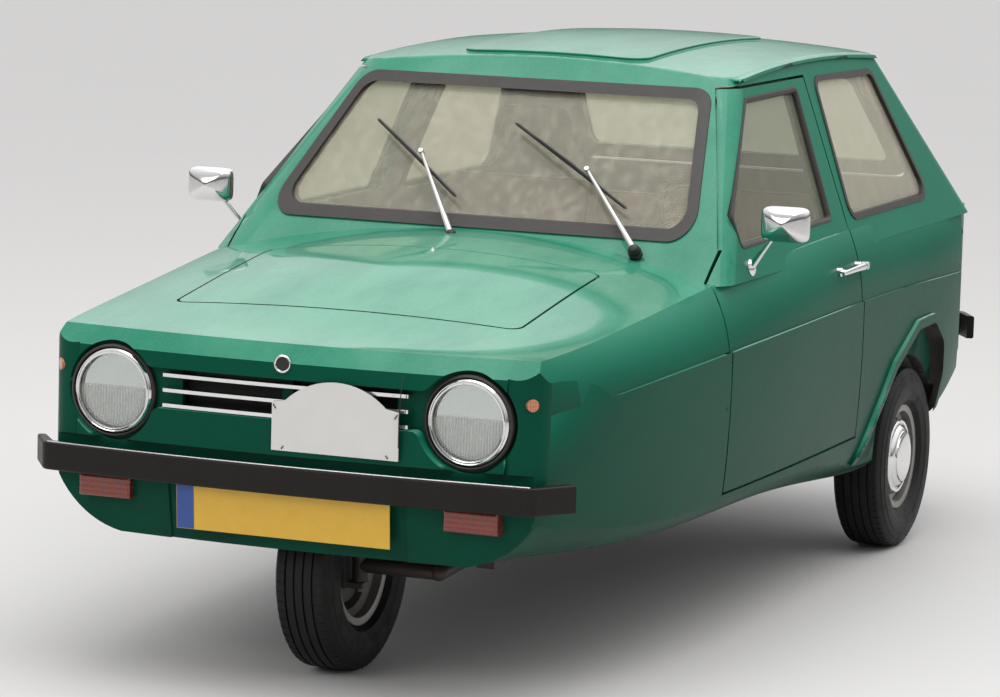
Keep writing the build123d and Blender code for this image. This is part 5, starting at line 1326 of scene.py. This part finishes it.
def wiper(route, u):
    pivot, elbow, tip, heel = (Vector(p) for p in route)
    lift = Vector(u["lift"])
    out = lift.normalized()
    startLift, endLift, capLift = u["lifts"]
    start, end = pivot + lift * startLift, elbow + lift * endLift

    def along(a, b, share, raised):
        return (a + (b - a) * share + out * raised) / 1000

    armPath = [along(start, end, t, u["armBow"] * math.sin(math.pi * t)) for t, r in u["arm"]]
    flat, bow = u["bladeOut"]
    bladePath = [along(tip, heel, t, flat + bow * math.sin(math.pi * t)) for t, r in u["blade"]]
    bridgePath = [along(tip, heel, t, height) for t, height in u["bridge"]]
    low, high, clipWire = u["clip"]
    clipPath = [(elbow + out * height) / 1000 for height in (low, high)]
    parts = [tube("arm", armPath, [r for t, r in u["arm"]], satinChrome, 10),
             tube("blade", bladePath, [r for t, r in u["blade"]], blackTrim, 10),
             tube("bridge", bridgePath, u["bridgeWire"], blackTrim, 8),
             tube("clip", clipPath, clipWire, satinChrome, 10)]
    seat = (pivot + lift * capLift) / 1000
    parts += [lathed(key, u[key], seat, out, 24, blackTrim, 30.0, loop=False) for key in ("cap", "foot")]
    return parts


wiperPiece = joined("wiper_set", [part for route in wiperUser["routes"] for part in wiper(route, wiperUser)])
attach(wiperPiece, "car")
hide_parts("wipers")

# Door mirrors: a rounded bright shell with its glass at the back, on a tapered stalk
mirrorUser = {
    "centre": (759.0, -480.0, 1000.0), "half": (60.0, 24.0, 43.0), "square": 0.36, "rows": 12,
    "columns": 48, "rims": ((1.0, 0.75), (0.965, 0.84), (0.93, 0.84), (0.925, 0.60)),
    "bulge": (0.6, 1.6, 0.10, 0.8), "glassOut": 0.5, "foot": (667, -440, 887), "ball": (742, -472, 985),
    "stalk": ((0.0, 10.5), (0.12, 8.5), (0.5, 6.5), (0.85, 6.0), (1.0, 7.5)),
    "baseFacing": (1.0, 0, 0.28), "base": [(-6, 21), (2, 21), (6, 17), (10, 10), (11, 0.5)]
}


def mirrorRow(share, deep, u):
    # a rounded rectangle, a share of the full width, at some depth along Y
    cx, _, cz = u["centre"]
    hx, _, hz = u["half"]
    row = []
    for k in range(u["columns"]):
        turn = 2 * math.pi * k / u["columns"]
        c, s = math.cos(turn), math.sin(turn)
        x = math.copysign(abs(c) ** u["square"], c) * hx * share
        z = math.copysign(abs(s) ** u["square"], s) * hz * share
        row.append(mm(cx + x, deep, cz + z))
    return row


def doorMirror(u):
    cy, hy = u["centre"][1], u["half"][1]
    rows, columns = u["rows"], u["columns"]
    back, bulk, hollow, roundness = u["bulge"]
    points = []
    for i in range(rows + 1):
        share = math.sin(math.pi / 2 * i / rows)
        bulge = math.cos(math.pi / 2 * i / rows) ** roundness
        points += mirrorRow(share, cy + hy * back - bulge * hy * bulk * (1 - hollow * share), u)
    for share, deep in u["rims"]:
        points += mirrorRow(share, cy + hy * deep, u)
    faces = rowFaces(len(points) // columns, columns, closed=False)
    shell = meshPiece("mirrorShell", points, faces, chrome, 40.0)
    edge = [p + mm(0, u["glassOut"], 0) for p in points[-columns:]]
    glass = flatFace("mirrorGlass", edge, Vector((0, 1, 0)), mirrorFace)
    foot, ball = Vector(u["foot"]) / 1000, Vector(u["ball"]) / 1000
    path = [foot + (ball - foot) * t for t, r in u["stalk"]]
    stalk = tube("stalk", path, [r for t, r in u["stalk"]], chrome, 14)
    base = lathed("base", u["base"], foot, u["baseFacing"], 32, chrome, 30.0, loop=False)
    return joined("door_mirror_left", [shell, glass, stalk, base])


# Door handles: a tapered bar, flattened against the door, on two posts beside a lock button
handleUser = {
    "x": 714.0, "z": 817.0, "flat": 0.62,
    "bar": [(152, 0, 3.0), (158, 0, 6.2), (200, 0, 7.2), (270, 1, 8.6), (318, 1, 10.0), (332, 0, 10.0),
            (337, 0, 6.0)],
    "posts": [(170, 7.8), (326, 8.5)], "post": [(-20, 1.5), (-6, 1.5), (-3, 1.0), (6, 0.9)],
    "postTop": (7, 0.5), "postIn": 6.0, "buttonPlace": (713.0, 350.0),
    "button": [(-12, 10.5), (2, 10.5), (4, 8.5), (4.5, 0.5)]
}


def doorHandle(u):
    x, z = u["x"], u["z"]
    path = [mm(x, y, z + rise) for y, rise, r in u["bar"]]
    bar = tube("bar", path, [r for y, rise, r in u["bar"]], chrome, 16)
    for vert in bar.data.vertices:
        vert.co.x = x / 1000 + (vert.co.x - x / 1000) * u["flat"]
    parts = [bar]
    for y, r in u["posts"]:
        outline = [(a, r * share) for a, share in u["post"]] + [u["postTop"]]
        place = mm(x - u["postIn"], y, z)
        parts.append(lathed("post", outline, place, (1, 0, 0), 24, chrome, 30.0, loop=False))
    place = mm(*u["buttonPlace"], z)
    parts.append(lathed("button", u["button"], place, (1, 0, 0), 24, satinChrome, 30.0, loop=False))
    return joined("door_handle_left", parts)


for leftPiece, node in ((doorMirror(mirrorUser), "mirror"), (doorHandle(handleUser), "handle")):
    rightPiece = mirroredCopy(leftPiece.name.replace("left", "right"), leftPiece)
    for piece, sideName in ((leftPiece, "left"), (rightPiece, "right")):
        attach(piece, bodyOf[node + "_" + sideName])
        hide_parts(node + "_" + sideName)
print("bright parts made")

# Dashboard: two dials with plain marks, and a lidded tray with a pull
dashUser = {
    "dials": (242.0, 418.0), "dialZ": 762.0, "y": -430.0, "steps": 48,
    "bezel": [(-2, 43), (3, 44), (7, 42), (8, 39), (5, 37), (1, 36.5)],
    "face": [(1.2, 37), (1.4, 20), (1.5, 0.05)], "mark": (0.7, 1.6, 29, 34), "marksFrom": -130,
    "marksTo": 130, "markPitch": 20, "lid": ((-470, -432, 715), (-150, -426, 800), 1.8),
    "pull": ((-330, -427, 786), (-290, -421, 794), 2.0)
}


def dialMarks(centre, u):
    half, raised, low, high = u["mark"]
    mark = [mm(x, raised, z) for x, z in ((-half, low), (half, low), (half, high), (-half, high))]
    points = []
    for degrees in range(u["marksFrom"], u["marksTo"] + 1, u["markPitch"]):
        turn = Matrix.Rotation(math.radians(degrees), 3, "Y")
        points += [centre + turn @ corner for corner in mark]
    faces = [(k, k + 3, k + 2, k + 1) for k in range(0, len(points), 4)]
    return meshPiece("marks", points, faces, plaqueWhite, facing=False)


def dashDetails(u):
    parts = []
    for x in u["dials"]:
        centre = mm(x, u["y"], u["dialZ"])
        for key, finish in (("bezel", satinChrome), ("face", blackTrim)):
            parts.append(lathed(key, u[key], centre, (0, 1, 0), u["steps"], finish, 30.0, loop=False))
        parts.append(dialMarks(centre, u))
    for key, finish in (("lid", blackTrim), ("pull", satinChrome)):
        (x0, y0, z0), (x1, y1, z1), radius = u[key]
        parts.append(roundedBox(key, mm(x0, y0, z0), mm(x1, y1, z1), radius, finish))
    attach(joined("dashboard_details", parts), "car")


# A pale blank label, stuck on the inner face of the leaning windscreen; corners are (x, z), in two rows
labelUser = {"corners": (((470, 968), (500, 968)), ((469, 986), (498, 986))), "behind": 14.5, "thick": 0.6}


def screenLabel(u, skin):
    out = Vector((0, -1.0, skin["frontLean"])).normalized()

    def place(layer, row, column):
        x, z = u["corners"][row][column]
        y = skin["front"] + skin["frontLean"] * (z - skin["belt"])
        return (Vector((x, y, z)) - out * (u["behind"] - layer * u["thick"])) / 1000

    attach(thickGrid("screen_label", place, 2, 2, plaqueWhite), "car")


dashDetails(dashUser)
screenLabel(labelUser, skinUser)
print("cabin dressed")

# Tail corners: a painted strip behind the skin, where the shell is thinnest
tailUser = {
    "heights": (786.0, 804.0, 822.0, 840.0, 857.0), "deep": 1.3, "thick": 2.0, "topZ": 850.0,
    "topReach": 2976.0, "slope": 24.0 / 290.0, "across": (430, 460, 490, 515, 540, 563), "arcSteps": 12,
    "forward": (20, 45, 75), "sideSlope": 0.16
}


def tailPath(z, inset, u, skin):
    # plan points of the tail's corner at one height, some way in from its skin
    cx, cy, radius = skin["tailCorner"]
    reach = u["topReach"] + (u["topZ"] - z) * u["slope"] - inset
    path = [(x, skin["tailAxis"] + math.sqrt(reach ** 2 - x * x)) for x in u["across"]]
    for step in range(1, u["arcSteps"] + 1):
        turn = math.pi / 2 * (1 - step / u["arcSteps"])
        x, y = cx + (radius - inset) * math.cos(turn), cy + (radius - inset) * math.sin(turn)
        path.append((x, min(y, skin["tailAxis"] + math.sqrt(reach ** 2 - x * x))))
    path += [(cx + radius - inset + t * u["sideSlope"], cy - t) for t in u["forward"]]
    return path


def tailFill(side, u, skin):
    insets = (u["deep"], u["deep"] + u["thick"])
    layers = [[tailPath(z, inset, u, skin) for z in u["heights"]] for inset in insets]

    def place(layer, row, column):
        x, y = layers[layer][row][column]
        return mm(side * x, y, u["heights"][row])

    return thickGrid("tailFill", place, len(u["heights"]), len(layers[0][0]), paint, 40.0)


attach(joined("tail_corner_fill", [tailFill(side, tailUser, skinUser) for side in (-1, 1)]), "car")
print("tail corners filled")

# Floor and studio: a sky that is white overhead, darker round the horizon and paler behind the object
stageUser = {
    "floor": (0.62, 0.61, 0.60), "worn": 0.97, "size": 60.0,
    "sky": ((0.0, 0.08), (0.50, 0.10), (0.55, 0.34), (0.66, 0.86), (1.0, 1.15)), "behind": 0.55,
    "backdrop": (0.74, 0.74, 0.73), "overheadWatts": 260.0, "frontWatts": 115.0
}


def paleFloor(u):
    f = Finish("paleFloor")
    worn = tuple(c * u["worn"] for c in u["floor"])
    f.set(Base_Color=f.between(f.noise(0.8, 3.0), u["floor"], worn), Roughness=0.75)
    half = u["size"] / 2
    corners = [(-half, -half, 0), (half, -half, 0), (half, half, 0), (-half, half, 0)]
    meshPiece("floor", corners, [(0, 1, 2, 3)], f.material, smooth=False)


def softSky(u):
    world = bpy.data.worlds.new("softSky")
    bpy.context.scene.world = world
    world.use_nodes = True
    tree = world.node_tree
    tree.nodes.clear()
    kinds = {"place": "ShaderNodeTexCoord", "split": "ShaderNodeSeparateXYZ", "ramp": "ShaderNodeValToRGB",
             "height": "ShaderNodeMath", "back": "ShaderNodeMath", "sky": "ShaderNodeBackground",
             "seen": "ShaderNodeBackground", "mix": "ShaderNodeMixShader", "ray": "ShaderNodeLightPath",
             "end": "ShaderNodeOutputWorld"}
    links = (("place", "Generated", "split", 0), ("split", 2, "height", 0), ("height", 0, "ramp", 0),
             ("ramp", 0, "sky", 0), ("split", 1, "back", 0), ("back", 0, "sky", 1),
             ("ray", "Is Camera Ray", "mix", 0), ("sky", 0, "mix", 1), ("seen", 0, "mix", 2),
             ("mix", 0, "end", 0))
    n = wired(tree, kinds, links)
    elements = n["ramp"].color_ramp.elements
    while len(elements) < len(u["sky"]):
        elements.new(0.5)
    for element, (where, level) in zip(elements, u["sky"]):
        element.position = where
        element.color = (level, level, level * 1.01, 1)
    for key, factor, start in (("height", 0.5, 0.5), ("back", u["behind"], 1.0)):
        n[key].operation = "MULTIPLY_ADD"
        n[key].inputs[1].default_value = factor
        n[key].inputs[2].default_value = start
    n["seen"].inputs[0].default_value = (*u["backdrop"], 1)


paleFloor(stageUser)
softSky(stageUser)
areaLight("overhead", (1.0, -1.0, 6.5), (0, 0, 0.6), (7.0, 7.0), stageUser["overheadWatts"])
areaLight("front", (-2.5, -7.5, 4.5), (0, -0.5, 0.6), (4.0, 3.0), stageUser["frontWatts"])
print("studio lit")
